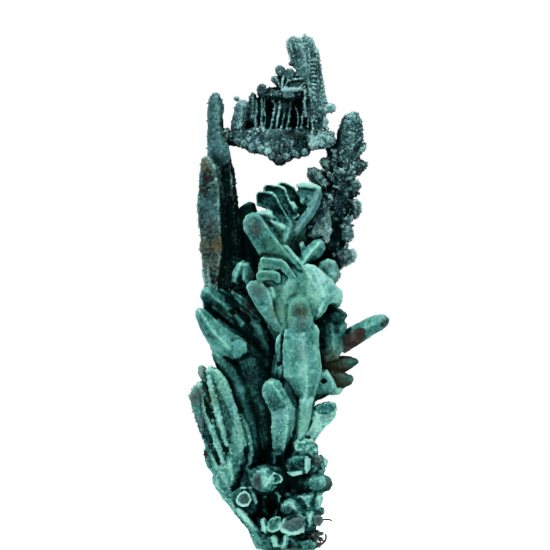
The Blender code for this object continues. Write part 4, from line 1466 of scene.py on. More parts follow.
# blunt crystals on the left of the stem, the largest one leaning well out
STEM_LEFT_FLANK = """
roof 1.3 3.4 -.53: -170,504 -166,520 -154,526 -136,518 -116,500 -100,482 -108,466 -140,476 -160,488:
  -154,-44,516 -116,-34,482;
roof 1.9 4 -.24: -178,466 -178,478 -172,484 -160,480 -138,460 -110,438 -84,422 -74,412 -76,396 -90,384
  -104,380 -122,388 -138,392 -164,430: -168,-68,476 -142,-70,434 -110,-64,402;
rounded .5 3.4 -.37: -108,412 -94,422 -76,414 -74,396 -88,384 -102,382: -90,-65,404;
roof 1.2 3.4 .27: -152,412 -138,408 -116,390 -96,362 -100,334 -116,330 -134,362 -142,388: -142,-48,398
  -110,-42,358;
rounded .8 3 .34: -166,500 -140,488 -98,470 -72,422 -84,412 -114,426 -142,454 -164,478: -146,-26,482
  -94,-26,442;
crystal 3.4 3 .85 .4 tone=-.75: -60,-14,420 -156,-20,500;
crystal 4.4 3.4 .85 .35 .9 tone=-.16: -60,-18,358 -156,-30,454;
crystal 3.2 3 .85 .5 .9 tone=-.2: -50,-8,312 -144,-18,412;
crystal 3 3 .8 .4 .9 tone=-.2: -40,-10,296 -112,-16,378;
crystal 3 3 .75 .6 tone=-1: -40,-10,540 -104,-20,572;
roof 1.3 3.4 -.38: -108,532 -106,554 -94,572 -82,578 -72,566 -78,546 -92,528: -90,-52,568 -100,-44,536;
table 1 3.4 -.48: -84,574 -70,574 -58,550 -58,538 -74,526 -86,538: -72,-50,554;
crystal 3.4 3 .75 .5 tone=-.81: -60,-6,470 -148,-14,526;
crystal 3.4 3 .85 .5 .9 tone=-.35: -36,-10,260 -126,-14,386;
crystal 3.4 3 .85 .5 .9 tone=-.47: -32,-10,210 -104,-10,336;
crystal 3 3 .75 .5 tone=-.76: -44,-16,460 -106,-28,514;
crystal 2.8 2.8 .75 .5 tone=-.98: -50,-10,410 -100,-30,466;
rounded 1.4 3.6 -.82: -98,382 -72,394 -46,378 -28,330 -16,268 -24,206 -44,214 -64,290 -84,338: -68,-50,378
  -44,-44,314 -32,-32,226;
rounded 1.4 3.6 -.59: -148,392 -122,390 -94,366 -72,318 -52,250 -46,186 -66,170 -84,218 -104,274 -126,334:
  -122,-46,378 -86,-40,306 -60,-28,206;
roof .9 3 -.18: -78,454 -54,462 -30,438 -18,398 -34,382 -58,410: -54,-30,446 -34,-24,402;
roof .9 3 .18: -94,518 -74,506 -54,474 -66,458 -90,478: -78,-36,498 -66,-30,474;
"""
# the stem that the other crystals grow from; its dark tones are painted shade where it shows between them
STEM_CORE = """
crystal 10.6 8 .6 .7 .7 skew=0 tone=-1: 4,18,140 -12,20,520;
crystal 12 6.6 .5 .6 .8 skew=0 tone=-.5: -16,22,400 6,24,670;
crystal 8 6.6 .7 .7 tone=.47: -30,16,300 -90,16,560;
crystal 8 7 .7 .6 tone=-.5: 20,12,260 74,12,500;
crystal 4.8 3.6 .8 .8 tone=-.8: -60,24,500 -76,34,686;
crystal 5.6 4 .8 .8 tone=-.7: -30,6,540 -56,8,660;
"""
STEM_STAINS = """
ochre 5 .55: 106,-36,370; ochre 4.4 .55: 106,-38,338; copper 2.9 1: 130,-46,412; copper 2.7 1: 148,-50,422;
copper 1.6 .6: 196,-62,456; copper .9 .6: -70,-46,548; ochre 1.6 .3: -76,-34,482; copper 2.4 .7: 20,60,440;
ochre 2.6 .7: -40,56,520; copper 2 .6: 80,50,380;
"""


@dataclass
class StemCluster(Branch):
    """The stem with the blunt crystals of both flanks, the stepped plates and the pale heart."""

    form_table = STEM_CORE + STEM_LEFT_FLANK + STEM_RIGHT_FLANK
    stain_table = STEM_STAINS

    def worked_out(self) -> list[Shape]:
        """Blades that climb the far side of the stem, leaning out to the left and right by turns."""
        blades: list[Shape] = []
        for i in range(5):
            side = 1.0 if i % 2 else -1.0
            z = 25.4 + 7.5 * i
            tip = (side * (3.0 + 0.5 * math.sin(1.3 * i)), 6.6 - 0.3 * i, z + 10.6)
            root = (side * 0.6, 2.6, z)
            turned = {"roll": 12.0 * side, "skew": 0.3 * side, "tone": 0.1 * side}
            blades.append(Crystal(root, tip, 4.6, 3.6, 0.75, 0.45, 0.8, **turned))
        for i in range(9):
            side = -1.0 if i % 2 else 1.0
            z = 22.0 + 4.6 * i
            tip = (side * (5.0 + math.sin(2.3 * i)), 5.0 + 0.5 * math.sin(1.9 * i), z + 6.4)
            root = (side * 1.4, 2.4, z)
            tone = 0.15 * math.sin(3.1 * i)
            blades.append(Crystal(root, tip, 2.8, 2.6, 0.75, 0.45, 0.8, roll=20.0 * side, tone=tone))
        return blades


HEART_PITS = """
crystal 1.8 1.7 .4 .6 1 skew=0 facets=4: 79,-90,338 75,-42,337;
crystal 2.3 1.9 .4 .6 1 skew=0: 20,-96,616 22,-34,614;
crystal .7 .9 .4 .6 1 skew=0: -12,-96,632 -12,-60,632;
crystal .8 .7 .4 .6 1 skew=0: 30,-96,530 30,-64,530;
crystal .5 .9 .5 .5 .5 skew=0: 20,-99,438 58,-96,440;
crystal .7 1 .4 .3 .5 skew=0: 36,-98,432 37,-97,414;
"""
# the tall rounded blade in the centre of the front, and the stalk that it stands on
HEART_MIDDLE_BLADE = """
rounded 1.6 4.6 -.25: 4,454 6,488 12,500 26,506 40,504 50,494 54,472 58,450 50,436 26,432 6,436: 28,-95,490
  32,-99,458 34,-97,442;
rounded .5 3 -.81: 14,482 22,492 38,492 44,480 40,466 24,462 14,470: 30,-99,478;
roof 1.8 4.4 -.15: -2,438 8,444 50,442 62,450 68,438 68,408 72,382 74,358 66,330 58,302 52,274 44,242 36,216
  22,212 24,242 28,274 26,298 12,322 -4,346 -6,398: 36,-97,432 38,-94,386 44,-86,330 40,-76,286 30,-58,222;
rounded .9 3.6 .4: 28,302 44,310 58,304 54,274 46,242 38,216 20,210 22,242 24,274: 42,-80,296 38,-76,274
  30,-62,226;
roof .9 3.4 -.27: -18,424 -8,434 0,408 -2,376 -14,374 -20,398: -10,-66,406;
roof .8 3 -.33: -14,366 -2,374 4,350 -2,330 -14,342: -6,-62,354;
roof 1 3 .9: -6,350 36,326 36,294 28,250 14,234 6,278: 16,-62,322 22,-54,270;
crystal 4.4 4.2 .85 .5 .9 skew=.1: 28,-24,300 28,-54,494;
crystal 7 4.4 .7 .55 .8 skew=.1: 32,-18,284 35,-46,440;
crystal 2.6 3.4 .7 .6 .9: 16,-16,160 42,-44,350;
crystal 3.6 3.4 .8 .4 tone=-1: -14,-14,200 -12,-38,400;
crystal 3.4 3.4 .8 .4 tone=-1: -40,-10,200 -62,-26,386;
table 1 3.6 -.17: 58,312 62,340 70,356 84,362 96,342 104,322 88,312 64,308: 80,-64,334 70,-58,314;
rounded .6 3 -.16: -2,422 26,430 32,394 30,346 6,350 -2,386: 14,-86,414 18,-82,358;
"""
# the pale lens-shaped lobe at the right of the heart, the finger over it and the knob behind
HEART_LOBES = """
roof 1.7 4 -.12: 26,570 32,590 44,606 58,618 70,620 78,612 80,598 68,582 52,572 38,558: 68,-68,612
  52,-74,594 34,-72,568;
rounded .5 3.6 -.13: 18,536 36,556 56,532 66,502 48,488 26,496 14,516: 34,-76,532 48,-75,502;
rounded 1.2 4.4 .2: 32,562 46,570 58,568 72,558 92,536 112,518 116,506 102,494 86,490 82,478 68,462 50,454
  36,470 38,502 42,530: 38,-80,558 52,-85,534 66,-83,504 58,-75,474;
crystal .7 .9 .5 .5 .6 skew=0 ledges=0 tone=.17: 34,-81,568 64,-87,518;
rounded 1.2 3 .88: 56,534 74,554 94,534 114,516 116,502 98,494 70,494: 72,-84,532 108,-68,508;
crystal .6 .7 .5 .4 .5 skew=0 ledges=0 tone=.35: 56,-79,562 78,-85,506;
crystal .6 .7 .5 .4 .5 skew=0 ledges=0 tone=.35: 68,-76,558 96,-78,502;
crystal .6 .7 .5 .4 .5 skew=0 ledges=0 tone=.3: 76,-81,492 62,-74,462;
roof .7 3 .3: 72,552 92,536 110,516 96,512 78,526: 82,-83,540 100,-74,518;
rounded 1.6 3.4 .09: 60,558 68,574 86,582 100,576 108,560 106,540 98,526 82,530 62,546: 82,-64,566
  92,-64,546;
crystal 3.2 3.2 .75 .5 tone=-.1: 14,-20,550 76,-30,606;
crystal 4.2 3.4 .7 .65 tone=-.1: 46,-10,534 98,-20,566;
crystal 6.2 3.6 .7 .4 .7 tone=-.3: 28,-10,420 50,-26,560;
crystal 4.2 3.2 .8 .5 tone=.9: 44,-4,458 108,-16,510;
crystal 2.8 2.8 .7 .6 tone=-.4: 44,0,444 120,-6,470;
crystal 3.2 3 .7 .6 tone=-.2: 40,-6,494 96,-12,540;
"""
# the big front blade, the two steps under it and the blade with the lilac face
HEART = """
roof 2.4 4.2 -.51: -84,640 -84,654 -78,666 -66,672 -52,670 -42,660 -26,636 -6,608 14,586 34,564 42,548
  30,538 10,554 -10,566 -34,582 -52,588 -66,610: -50,-94,665 -29,-92,634 -8,-88,604 12,-82,581 30,-76,560;
table .9 3 -.54: -50,580 -42,585 -6,580 4,572 16,556 34,530 24,520 10,536 -2,550 -10,558 -48,560:
  -42,-82,574 -6,-85,570 24,-78,530;
table .9 3 -.43: -58,550 -50,558 -12,555 -8,548 -8,530 -18,530 -22,536 -56,536: -50,-87,548 -14,-87,546;
roof 1.7 3.6 -.22: -78,526 -70,536 -56,538 -38,532 -24,524 -18,512 -20,496 -16,474 -6,446 6,422 -8,418
  -30,448 -54,476 -68,500: -46,-83,532 -30,-82,510 -22,-72,474 0,-58,426;
rounded 1 3.4 .23: -26,514 -8,518 10,508 12,474 8,430 -4,430 -18,474: -6,-69,506 0,-62,446;
rounded .9 3.4 .27: -8,526 10,546 30,534 22,514 12,492 0,486 -10,506: 14,-80,538 0,-75,496;
roof .7 3 .44: -30,528 -22,526 -16,508 -22,498 -30,512: -24,-82,522 -22,-79,506;
crystal 4 3.6 .85 .5 .9 tone=-.3: 36,-24,526 -66,-50,662;
crystal 2.6 3.6 .8 .6 tone=-.2: 34,-30,516 -44,-46,572;
crystal 3 3.8 .8 .6 tone=-.2: 18,-22,490 -52,-42,548;
crystal 4.8 3.4 .85 .6 .6 tone=-.08: 0,-18,406 -50,-40,530;
crystal 3.2 3.2 .7 .5 tone=-.4: 0,-20,580 -50,-32,626;
"""
# small facets between the spine of the plates and the ridge of the big front blade, and what backs them
HEART_FACETS = """
rounded 1 3.4 -.8: -54,670 2,670 30,650 24,626 6,602 -2,586 -34,634: -20,-66,654 6,-68,626;
rounded 1 3.4 .35: -54,574 10,578 54,554 66,498 22,470 -18,490 -54,530: -20,-73,558 36,-72,522;
roof .9 3.4 .58: -64,670 -46,676 -26,674 -22,660 -34,654 -46,662: -48,-78,672 -28,-74,666;
roof 1 3.4 .27: -38,660 -22,656 -2,656 12,646 2,630 -12,624 -26,636: -28,-73,654 -2,-70,642;
roof 1.1 3.4 -.46: -4,644 12,652 28,644 24,630 10,618 0,600 -12,616 -10,632: 12,-70,646 -2,-76,612;
roof .7 3 .35: 26,610 36,618 40,606 32,594: 32,-62,606;
roof .9 3 .18: -4,606 6,606 22,588 36,572 42,558 30,562 10,584: 4,-80,602 32,-76,570;
"""
# three parallel plates that climb to the upper left, and the spine that they leave from
HEART_PLATES = """
rimmed .9 1.5 .12 shrink=.96: -16,728 -10,734 6,730 18,724 28,704 40,684 28,670 10,692 -8,714: -2,-38,722
  28,-38,686;
rimmed .9 1.5 -.07 shrink=.96: -44,722 -40,728 -12,726 0,722 8,700 18,682 30,666 16,654 -2,682 -18,706
  -42,708: -28,-54,716 12,-52,674;
rimmed .9 1.5 -.79 shrink=.96: -58,708 -54,714 -24,712 -16,704 -6,682 4,664 14,650 2,638 -18,658 -30,676
  -56,686: -46,-70,698 -2,-68,658;
roof .5 2 .01: 6,694 18,694 28,678 18,670: 18,-54,684;
rounded .6 3.6 .74: 20,728 36,732 56,730 74,722 70,717 46,722 26,722: 30,-52,726 66,-58,722;
roof .4 3 .16: 24,724 48,722 44,700 38,684 30,690: 38,-46,712 36,-46,692;
roof .5 3 -.99: 42,722 64,720 58,700 46,682 38,686: 54,-52,714 46,-54,690;
roof 1.3 3.6 .17 tint=blue: 60,720 72,722 74,706 68,686 56,664 38,642 22,624 12,636 28,660 42,678 54,700:
  68,-62,714 54,-68,678 24,-74,636;
crystal 4 3.6 .8 .6 tone=-.7: 24,10,600 -24,6,696;
crystal 4 3.4 .8 .6 tone=-.6: 34,16,580 50,8,700;
crystal 6 4.4 .8 .6 tone=.9: 6,-10,560 46,-10,660;
"""
HEART_STAINS = """
ochre 2.2 .7: 30,-98,478; copper 1.4 .6: 26,-98,476; ochre 1.4 .6: 6,-82,454; copper .9 .7: 34,-60,626;
ochre .9 .5: 14,-70,640; ochre 1.1 .8: 104,-50,566; ochre 1.2 .8: 104,-50,538; lilac 1.2 .8: 86,-60,564;
ochre 1.8 .75: -16,-64,474; copper 1.2 .35: -18,-60,454; lilac 2.4 .75: -56,-76,518;
lilac 2.8 .6: -62,-84,642; lilac 2 .55: 30,-96,454; lilac 2.4 .35: 28,-90,398; green 3.6 .7: -2,-70,470;
green 4.2 .55: -42,-70,550; green 5 .65: 22,-80,506; green 4 .45: -10,-70,598; green 4 .4: 42,-70,258;
"""


@dataclass
class Heart(Branch):
    """The front of the stem: the stepped plates, the pale heart under them and the tall middle blade."""

    form_table = HEART_PLATES + HEART_FACETS + HEART + HEART_LOBES + HEART_MIDDLE_BLADE
    pit_table = HEART_PITS
    stain_table = HEART_STAINS
    zones = (
        RoughZone((5.0, -6.2, 68.2), 3.4, 0.28, 0.6),
        RoughZone((-1.0, -6.0, 68.8), 5.0, 0.16, 0.7),
        RoughZone((8.0, -7.6, 52.8), 4.6, 0.16, 0.6),
        RoughZone((-5.4, -8.4, 62.8), 3.4, 0.12, 0.7),
    )


LEFT_FAN_PITS = """
crystal 1.4 3 .5 .4 .6 skew=0 tone=.77: -160,-54,308 -144,-52,250;
crystal 1.5 1.6 .4 .3 .6 skew=0 tone=-1: -140,-59,342 -122,-55,274;
crystal .8 1.2 .4 .3 .6 skew=0 tone=.9: -132,-54,234 -112,-48,182;
"""
LEFT_FAN_FRONTS = """
roof 1.2 3 .02: -158,358 -150,366 -138,364 -126,356 -116,340 -108,322 -98,288 -88,248 -78,202 -78,174
  -94,162 -108,188 -122,238 -136,282 -148,318: -140,-55,360 -118,-55,330 -104,-52,290 -90,-47,246
  -84,-42,202;
rounded .4 3 -1: -152,346 -140,354 -126,334 -114,294 -104,250 -114,234 -132,268 -144,308: -134,-50,330
  -118,-49,262;
roof 1.3 3 -.99: -192,306 -186,320 -176,332 -164,338 -156,322 -142,290 -126,248 -112,206 -106,170 -126,170
  -152,198 -170,234 -182,272: -170,-52,326 -160,-52,302 -140,-49,248 -118,-38,186;
rounded .6 3 -.26: -190,306 -182,320 -172,322 -166,298 -158,258 -166,238 -180,274: -176,-50,310
  -168,-48,266;
roof .9 3 .22: -98,270 -88,276 -76,266 -66,242 -58,214 -54,186 -62,162 -78,162 -86,198 -92,234: -84,-38,262
  -70,-34,206 -68,-28,174;
roof .7 2.6 .9 tint=lilac: -174,364 -164,368 -156,362 -154,338 -168,340: -164,-32,354;
roof 1.2 3.6 -.34: -160,226 -150,218 -126,174 -102,138 -78,98 -58,62 -42,28 -42,2 -56,6 -76,44 -98,68
  -114,98 -132,128 -150,162 -160,194: -146,-32,188 -110,-32,122 -58,-34,38;
roof .9 3.6 -.26: -126,202 -106,194 -86,162 -90,130 -110,126 -128,162: -110,-40,174 -102,-40,142;
rounded .6 2.4 -.49: -164,198 -158,202 -148,188 -144,166 -152,162 -160,178: -154,-28,182;
wire .62 .1: -152,-49,350 -144,-50,310 -130,-48,258 -114,-42,206;
wire .62 .1: -138,-51,362 -118,-52,332 -104,-49,292 -90,-44,250 -78,-38,206;
wire .62 .1: -162,-46,314 -156,-48,274 -136,-43,218 -122,-36,174;
wire .62 .1: -90,-35,272 -74,-35,238 -64,-30,186;
wire .62 .1: -164,-44,330 -178,-42,322 -186,-38,304;
"""
LEFT_FAN_STAINS = """
copper 1.2 .7: -158,-28,190; lilac 2.6 .8: -178,-44,306; lilac 2.4 .6: -168,-44,258;
ochre 2 .35: -146,-46,306; green 5 .3: -126,-36,322; green 5 .3: -98,-36,238; ochre 2.4 .6: -120,34,240;
"""


@dataclass
class LeftFan(Branch):
    """Long blades that open like a hand to the upper left from one root."""

    pit_table = LEFT_FAN_PITS
    stain_table = LEFT_FAN_STAINS

    def shapes(self) -> list[Shape]:
        """The bodies of the blades, then their showing faces with the fine ridges along them."""
        return [*self.blades(), *table(LEFT_FAN_FRONTS)]

    def blades(self) -> list[Shape]:
        """The bodies, which fan out from places near one root: tip, width, depth, way from the root, tone."""
        y = LEFT_FAN_Y
        root = (-8.8, y, 11.0)
        bodies = [
            ((-14.7, y - 2.8, 35.6), 2.8, 3.0, 0.2, 0.0, -0.1),
            ((-12.9, y - 2.4, 35.2), 2.8, 2.8, 2.4, 1.0, -0.1),
            ((-18.0, y - 2.2, 31.0), 2.8, 2.6, 0.2, 0.0, -0.1),
            ((-17.0, y - 1.2, 33.3), 2.4, 2.4, 0.6, 1.0, -0.2),
            ((-16.7, y - 1.8, 36.6), 2.0, 1.8, 0.4, 1.0, -0.1),
            ((-16.0, y + 0.4, 24.2), 2.7, 2.6, -0.4, -1.2, 0.0),
            ((-15.7, y + 0.2, 18.8), 2.6, 2.4, 0.0, -2.6, 0.0),
            ((-14.2, y + 0.6, 14.6), 2.8, 2.4, 1.0, -5.0, 0.1),
            ((-13.0, y - 2.8, 26.6), 3.0, 2.4, 1.8, 0.0, 0.0),
            ((-8.9, y + 2.2, 27.2), 2.6, 2.6, 4.0, 2.6, -0.2),
            ((-6.9, y + 2.6, 25.6), 2.4, 2.6, 5.4, 2.6, -0.3),
            ((-14.4, y + 3.4, 31.8), 3.2, 2.8, 2.0, 1.6, 0.1),
            ((-12.0, y + 4.6, 26.8), 3.2, 2.8, 3.0, 1.4, 0.2),
            ((-9.9, y - 1.4, 31.0), 2.8, 2.6, 4.2, 2.4, -0.3),
            ((-16.6, y + 2.2, 28.0), 2.4, 2.2, 1.0, 0.6, 0.0),
        ]
        return [
            Crystal(
                shifted(root, dx, 0.0, dz), tip, width, depth, 0.86, 0.5, 0.9, roll=8.0 * (i % 3 - 1), tone=tone
            )
            for i, (tip, width, depth, dx, dz, tone) in enumerate(bodies)
        ]


# the two crystals toned near black behind the front one are painted shade
LEFT_SPIRE = """
roof 1.3 4.2 -.39: -172,604 -168,618 -174,656 -176,688 -172,726 -170,762 -166,780 -156,786 -144,778 -132,758
  -128,734 -126,674 -122,604 -118,574 -124,536 -144,528 -154,552 -162,574: -140,-46,766 -132,-48,718
  -130,-48,666 -126,-42,602 -134,-36,550;
roof 1.2 3 -.27 tint=blue: -156,838 -154,896 -150,906 -140,912 -130,906 -124,892 -122,878 -128,848 -120,822
  -112,804 -108,788 -114,772 -132,762 -154,768 -156,804: -136,-12,902 -132,-15,848 -126,-22,790;
crystal 3.3 2.8 .82 .5 .94 skew=.15 tone=-.26: -132,2,600 -140,8,910;
crystal 4.9 4.2 .6 .35 .78 skew=-.2 tone=.21: -142,-10,490 -153,-14,780;
crystal 3.2 3 .7 .4 .9 skew=.3 tone=-.43: -98,4,560 -119,12,806;
crystal 3.4 3.6 .7 .5 .9 tone=-.93: -118,-8,520 -130,-12,730;
crystal 2.9 2.6 .7 .5 .9 tone=-1: -98,6,560 -106,8,710;
crystal 3.8 3.4 .7 .4 .9 tone=0: -128,14,540 -150,36,740;
crystal 3.4 3.4 .7 .4 .9 tone=-.1: -116,20,530 -118,42,660;
crystal 2.4 2.6 .5 .6 tone=.21: -126,4,794 -116,10,840;
"""
LEFT_SPIRE_STAINS = """
ochre 2 .8: -160,-40,766; copper 2.2 .62: -156,-42,742; copper 1.8 .55: -164,-40,718;
ochre 1.8 1: -134,-44,608; ochre 1.8 .7: -160,-40,606; blue 1.9 1: -142,-20,796; blue 2.4 .7: -158,-40,688;
lilac 2.6 .6: -146,-42,642; blue 3 .7: -154,-42,690; blue 2.4 .55: -142,-42,662;
ochre 2.6 .35: -144,-40,574; copper 2.4 .8: -140,40,660; ochre 2 .7: -130,34,740;
"""


@dataclass
class LeftSpire(Branch):
    """The tall column on the left: a slender spire behind, a stout mottled crystal in front."""

    form_table = LEFT_SPIRE
    stain_table = LEFT_SPIRE_STAINS


# the lobes that stand out from the frond's edges
RIGHT_END_LOBES = """
roof 1 2.2 .46: 96,574 104,594 120,602 136,599 144,590 140,578 128,568 110,562: 110,9,578 136,10,590;
rounded 1.1 2.2 .9: 44,752 48,762 58,765 70,760 82,750 94,730 78,720 60,730 48,740: 54,12,754 80,16,732;
rounded 1.2 2.6 -.22: 114,858 122,868 134,871 146,867 154,856 156,834 156,810 150,784 142,762 120,756
  102,778 100,806 104,834: 130,14,862 124,9,822 124,12,774;
rounded .5 2.2 .01: 120,834 130,838 140,830 142,806 130,786 120,802: 130,8,826 130,8,798;
roof 1 2.2 -.56: 126,782 148,781 166,772 162,762 146,746 128,754: 140,11,772 160,14,770;
rounded .9 2.2 -.22: 126,742 144,740 154,728 146,718 126,714: 140,12,730;
roof 1 2.2 .1: 126,698 142,702 152,692 154,680 146,664 130,654: 140,10,688 140,10,672;
rounded 1 2.2 .02: 110,646 124,652 134,640 138,628 134,616 120,612 108,618: 124,10,638 124,10,622;
roof .9 2.2 -.26: 80,804 88,810 102,802 110,786 94,778: 92,14,800;
roof .9 2.2 .9: 68,776 74,784 90,786 102,770 86,754 74,762: 80,13,776;
rounded 1.2 6 .67: 70,706 84,694 90,654 86,614 62,606 38,626 50,662: 70,-39,682 66,-42,622;
"""
RIGHT_STAINS = """
blue 3.6 .8: 70,-38,674; blue 1.6 .5: 118,12,706;
"""


@dataclass
class RightFrond(Branch):
    """The flat, crusted frond on the right, with lobes in pairs up its edges."""

    stain_table = RIGHT_STAINS

    def shapes(self) -> list[Shape]:
        """The blade, the lobes at its edges, then the leaflets."""
        return [*self.spine(), *table(RIGHT_END_LOBES), *self.lobes()]

    def spine(self) -> list[Shape]:
        """The flat blade that runs the length of the frond, with a ridge on its far side."""
        y = RIGHT_FROND_Y
        foot, head = (8.6, y, 54.0), (13.8, y, 87.0)
        return [
            Crystal(foot, (12.8, y, 80.0), 5.6, 2.4, 0.6, 0.6, 0.8, skew=0.0, tone=-0.2),
            Crystal((12.0, y, 70.0), head, 4.6, 2.4, 0.8, 0.5, 0.7, skew=0.1, tone=-0.1),
            Crystal((7.0, y, 55.0), (9.8, y, 79.6), 4.4, 2.0, 0.6, 0.6, 0.8, skew=0.0, tone=-0.2),
            Crystal(shifted(foot, 0.2, 1.0, 3.0), (13.0, y + 1.2, 82.0), 1.4, 1.8, 0.6, 0.4, skew=0, tone=0.1),
        ]

    def lobes(self) -> list[Shape]:
        """Leaflets that overlap like scales on both faces, pointing up and outwards in no strict order."""
        foot, head = (8.4, RIGHT_FROND_Y, 53.0), (13.2, RIGHT_FROND_Y, 81.0)
        random = np.random.default_rng(5)
        lobes: list[Shape] = []
        for i in range(120):
            middle = between(foot, head, float(random.uniform(0.02, 1.0)))
            face = -1.0 if i % 5 < 3 else 1.0
            aside = float(random.uniform(-2.4, 1.9))
            root = shifted(middle, aside, 0.2 * face)
            lean = math.radians(float(random.uniform(15.0, 75.0))) * (1.0 if aside > 0.0 else -1.0)
            length = float(random.uniform(1.2, 2.6))
            forward = face * float(random.uniform(1.2, 1.9))
            tip = shifted(root, length * math.sin(lean), forward, length * math.cos(lean))
            width = float(random.uniform(0.9, 2.0))
            tone = float(random.uniform(-0.8, 0.45))
            lobes.append(Crystal(root, tip, width, 1.3, 0.6, 0.45, facets=4, ledges=0, tone=tone))
        for i in range(34):
            x, z = float(random.uniform(4.6, 8.8)), float(random.uniform(61.5, 70.5))
            root = (x, -3.2, z)
            tip = (x + float(random.uniform(-0.5, 0.9)), -4.3, z + float(random.uniform(0.2, 1.2)))
            tone = float(random.uniform(-0.7, 0.6))
            width = float(random.uniform(0.8, 1.6))
            lobes.append(Crystal(root, tip, width, 1.2, 0.6, 0.5, facets=4, ledges=0, tone=tone))
        return lobes


# the lobes of the band's lower edge: middle in X and Z, radius
SCALLOPS = (
    (-9.4, 81.4, 0.9), (-8.0, 81.0, 1.0), (-6.4, 80.3, 1.1), (-4.6, 79.9, 1.0), (-3.2, 79.5, 0.9),
    (-2.2, 78.5, 1.0), (-1.0, 77.8, 1.15), (0.4, 78.4, 1.0), (2.3, 79.1, 1.0), (4.0, 79.5, 0.95),
    (5.6, 80.7, 0.9), (7.4, 81.0, 1.0), (9.2, 81.8, 0.9),
)
RIBS = (
    # points in X and Z from top to bottom, radius, tone
    (((-5.8, 89.8), (-5.7, 88.2), (-5.9, 86.2), (-5.8, 83.4)), 0.34, 0.10),
    (((-4.7, 90.0), (-4.6, 87.8), (-4.7, 85.8), (-4.6, 83.4)), 0.25, 0.10),
    (((-4.0, 90.0), (-4.2, 87.8), (-3.9, 86.4), (-4.2, 83.6)), 0.19, -0.20),
    (((-2.8, 90.2), (-2.0, 88.8), (-2.3, 86.8), (-2.6, 85.4), (-3.0, 83.6)), 0.24, 0.20),
    (((-1.0, 90.2), (-1.1, 88.2), (-1.4, 86.2), (-1.8, 83.8)), 0.27, 0.20),
    (((-0.2, 90.0), (0.0, 87.4), (-0.4, 85.8), (-0.6, 83.6)), 0.22, -0.35),
    (((1.2, 90.0), (1.0, 87.8), (0.7, 85.8), (0.2, 83.8)), 0.26, -0.15),
    (((2.0, 88.6), (2.5, 87.2), (2.6, 85.6), (2.4, 83.8)), 0.19, 0.20),
    (((4.2, 90.4), (3.9, 88.2), (3.5, 86.2), (3.4, 83.8)), 0.26, 0.20),
    (((4.8, 90.2), (4.7, 87.4), (4.6, 85.4), (4.6, 83.6)), 0.22, -0.10),
    (((5.2, 88.2), (5.4, 85.8), (5.5, 83.4)), 0.22, 0.05),
)


# the small leaves and knobs left of the mast and at both ends of the crown
CROWN_LEAVES = """
rounded .7 2 -.06: -18,952 -20,962 -12,968 -2,964 4,954 18,930 10,922 -6,938: -10,2,958 8,4,932;
rounded .7 2 -.23: -28,938 -26,946 -18,948 -8,938 6,924 -2,916 -16,924: -18,3,940 -2,4,924;
rounded .6 2 -.08: 2,918 0,948 4,960 14,962 20,952 18,918: 10,-1,952 8,0,924;
rimmed .6 2 -.14: -2,922 4,936 24,940 36,942 38,932 28,920: 12,-7,930 34,-8,934;
wire .24 .25: -5,-1,918 -5,-1,934 -2,-1,946;
wire .2 .15: -10,0,922 -14,0,936 -20,0,942;
crystal 1.6 1.8 .6 .5: 40,12,976 9,12,970;
rounded .8 2 -.53: -56,910 -56,922 -50,930 -40,930 -36,918 -38,902: -46,-6,922;
roof .8 2.2 -.49: -76,858 -74,882 -72,904 -66,914 -58,910 -54,890 -52,866 -58,850: -64,-2,904 -64,-2,866;
roof .9 2.4 -.03: -110,832 -108,854 -104,870 -100,886 -94,896 -86,900 -76,896 -70,888 -74,870 -78,846
  -84,830: -86,-3,888 -90,-3,846;
pebble .55 -.1: -97,6,901;
rounded .8 2.2 .52: 72,882 80,890 94,892 102,886 102,878 92,872 76,872: 90,0,882;
rounded .7 2 .9: 72,838 72,858 78,866 86,856 84,844: 79,-1,854;
rounded .8 2.4 .9: 50,798 52,824 74,836 88,834 100,822 98,808 78,800: 64,-6,814 90,-3,822;
rounded 1.1 3 -.55: -122,822 -118,832 -106,838 -94,832 -90,818 -100,806 -114,808: -108,-4,824;
"""
# the notched mast with a ridge down each face
CROWN_MAST = """
roof .9 2.4 .16: 50,842 46,878 38,898 34,918 28,934 18,946 22,958 16,970 12,978 6,986 8,998 2,1004 2,1016
  10,1024 30,1022 42,1028 54,1022 60,1010 64,998 66,982 68,958 72,938 78,922 84,900 88,886 80,858 70,836:
  36,-1,1006 44,-3,958 50,-3,918 58,-2,862;
table .4 2 -.21: 50,982 64,982 68,954 70,918 50,918: 56,-1,970 58,-2,930;
wire .22 .25: 48,-2,1002 49,-2,974 48,-2,942 46,-2,918;
wire .32 .2: 36,-3,926 40,-3,914 39,-3,890 42,-3,862;
wire .26 -.2: 48,-3,914 54,-3,890 62,-3,862;
crystal 1.1 1.8 .8 .5 .9 skew=0: 52,25,880 44,25,1004;
crystal 1.8 2 .7 .25 tone=.25: 34,12,980 39,12,1030;
crystal 2.8 2.4 .85 .75 tone=-.3: 28,12,964 13,12,1020;
table .5 2 -1: 62,834 60,854 68,872 76,866 74,836: 68,-3,854;
"""
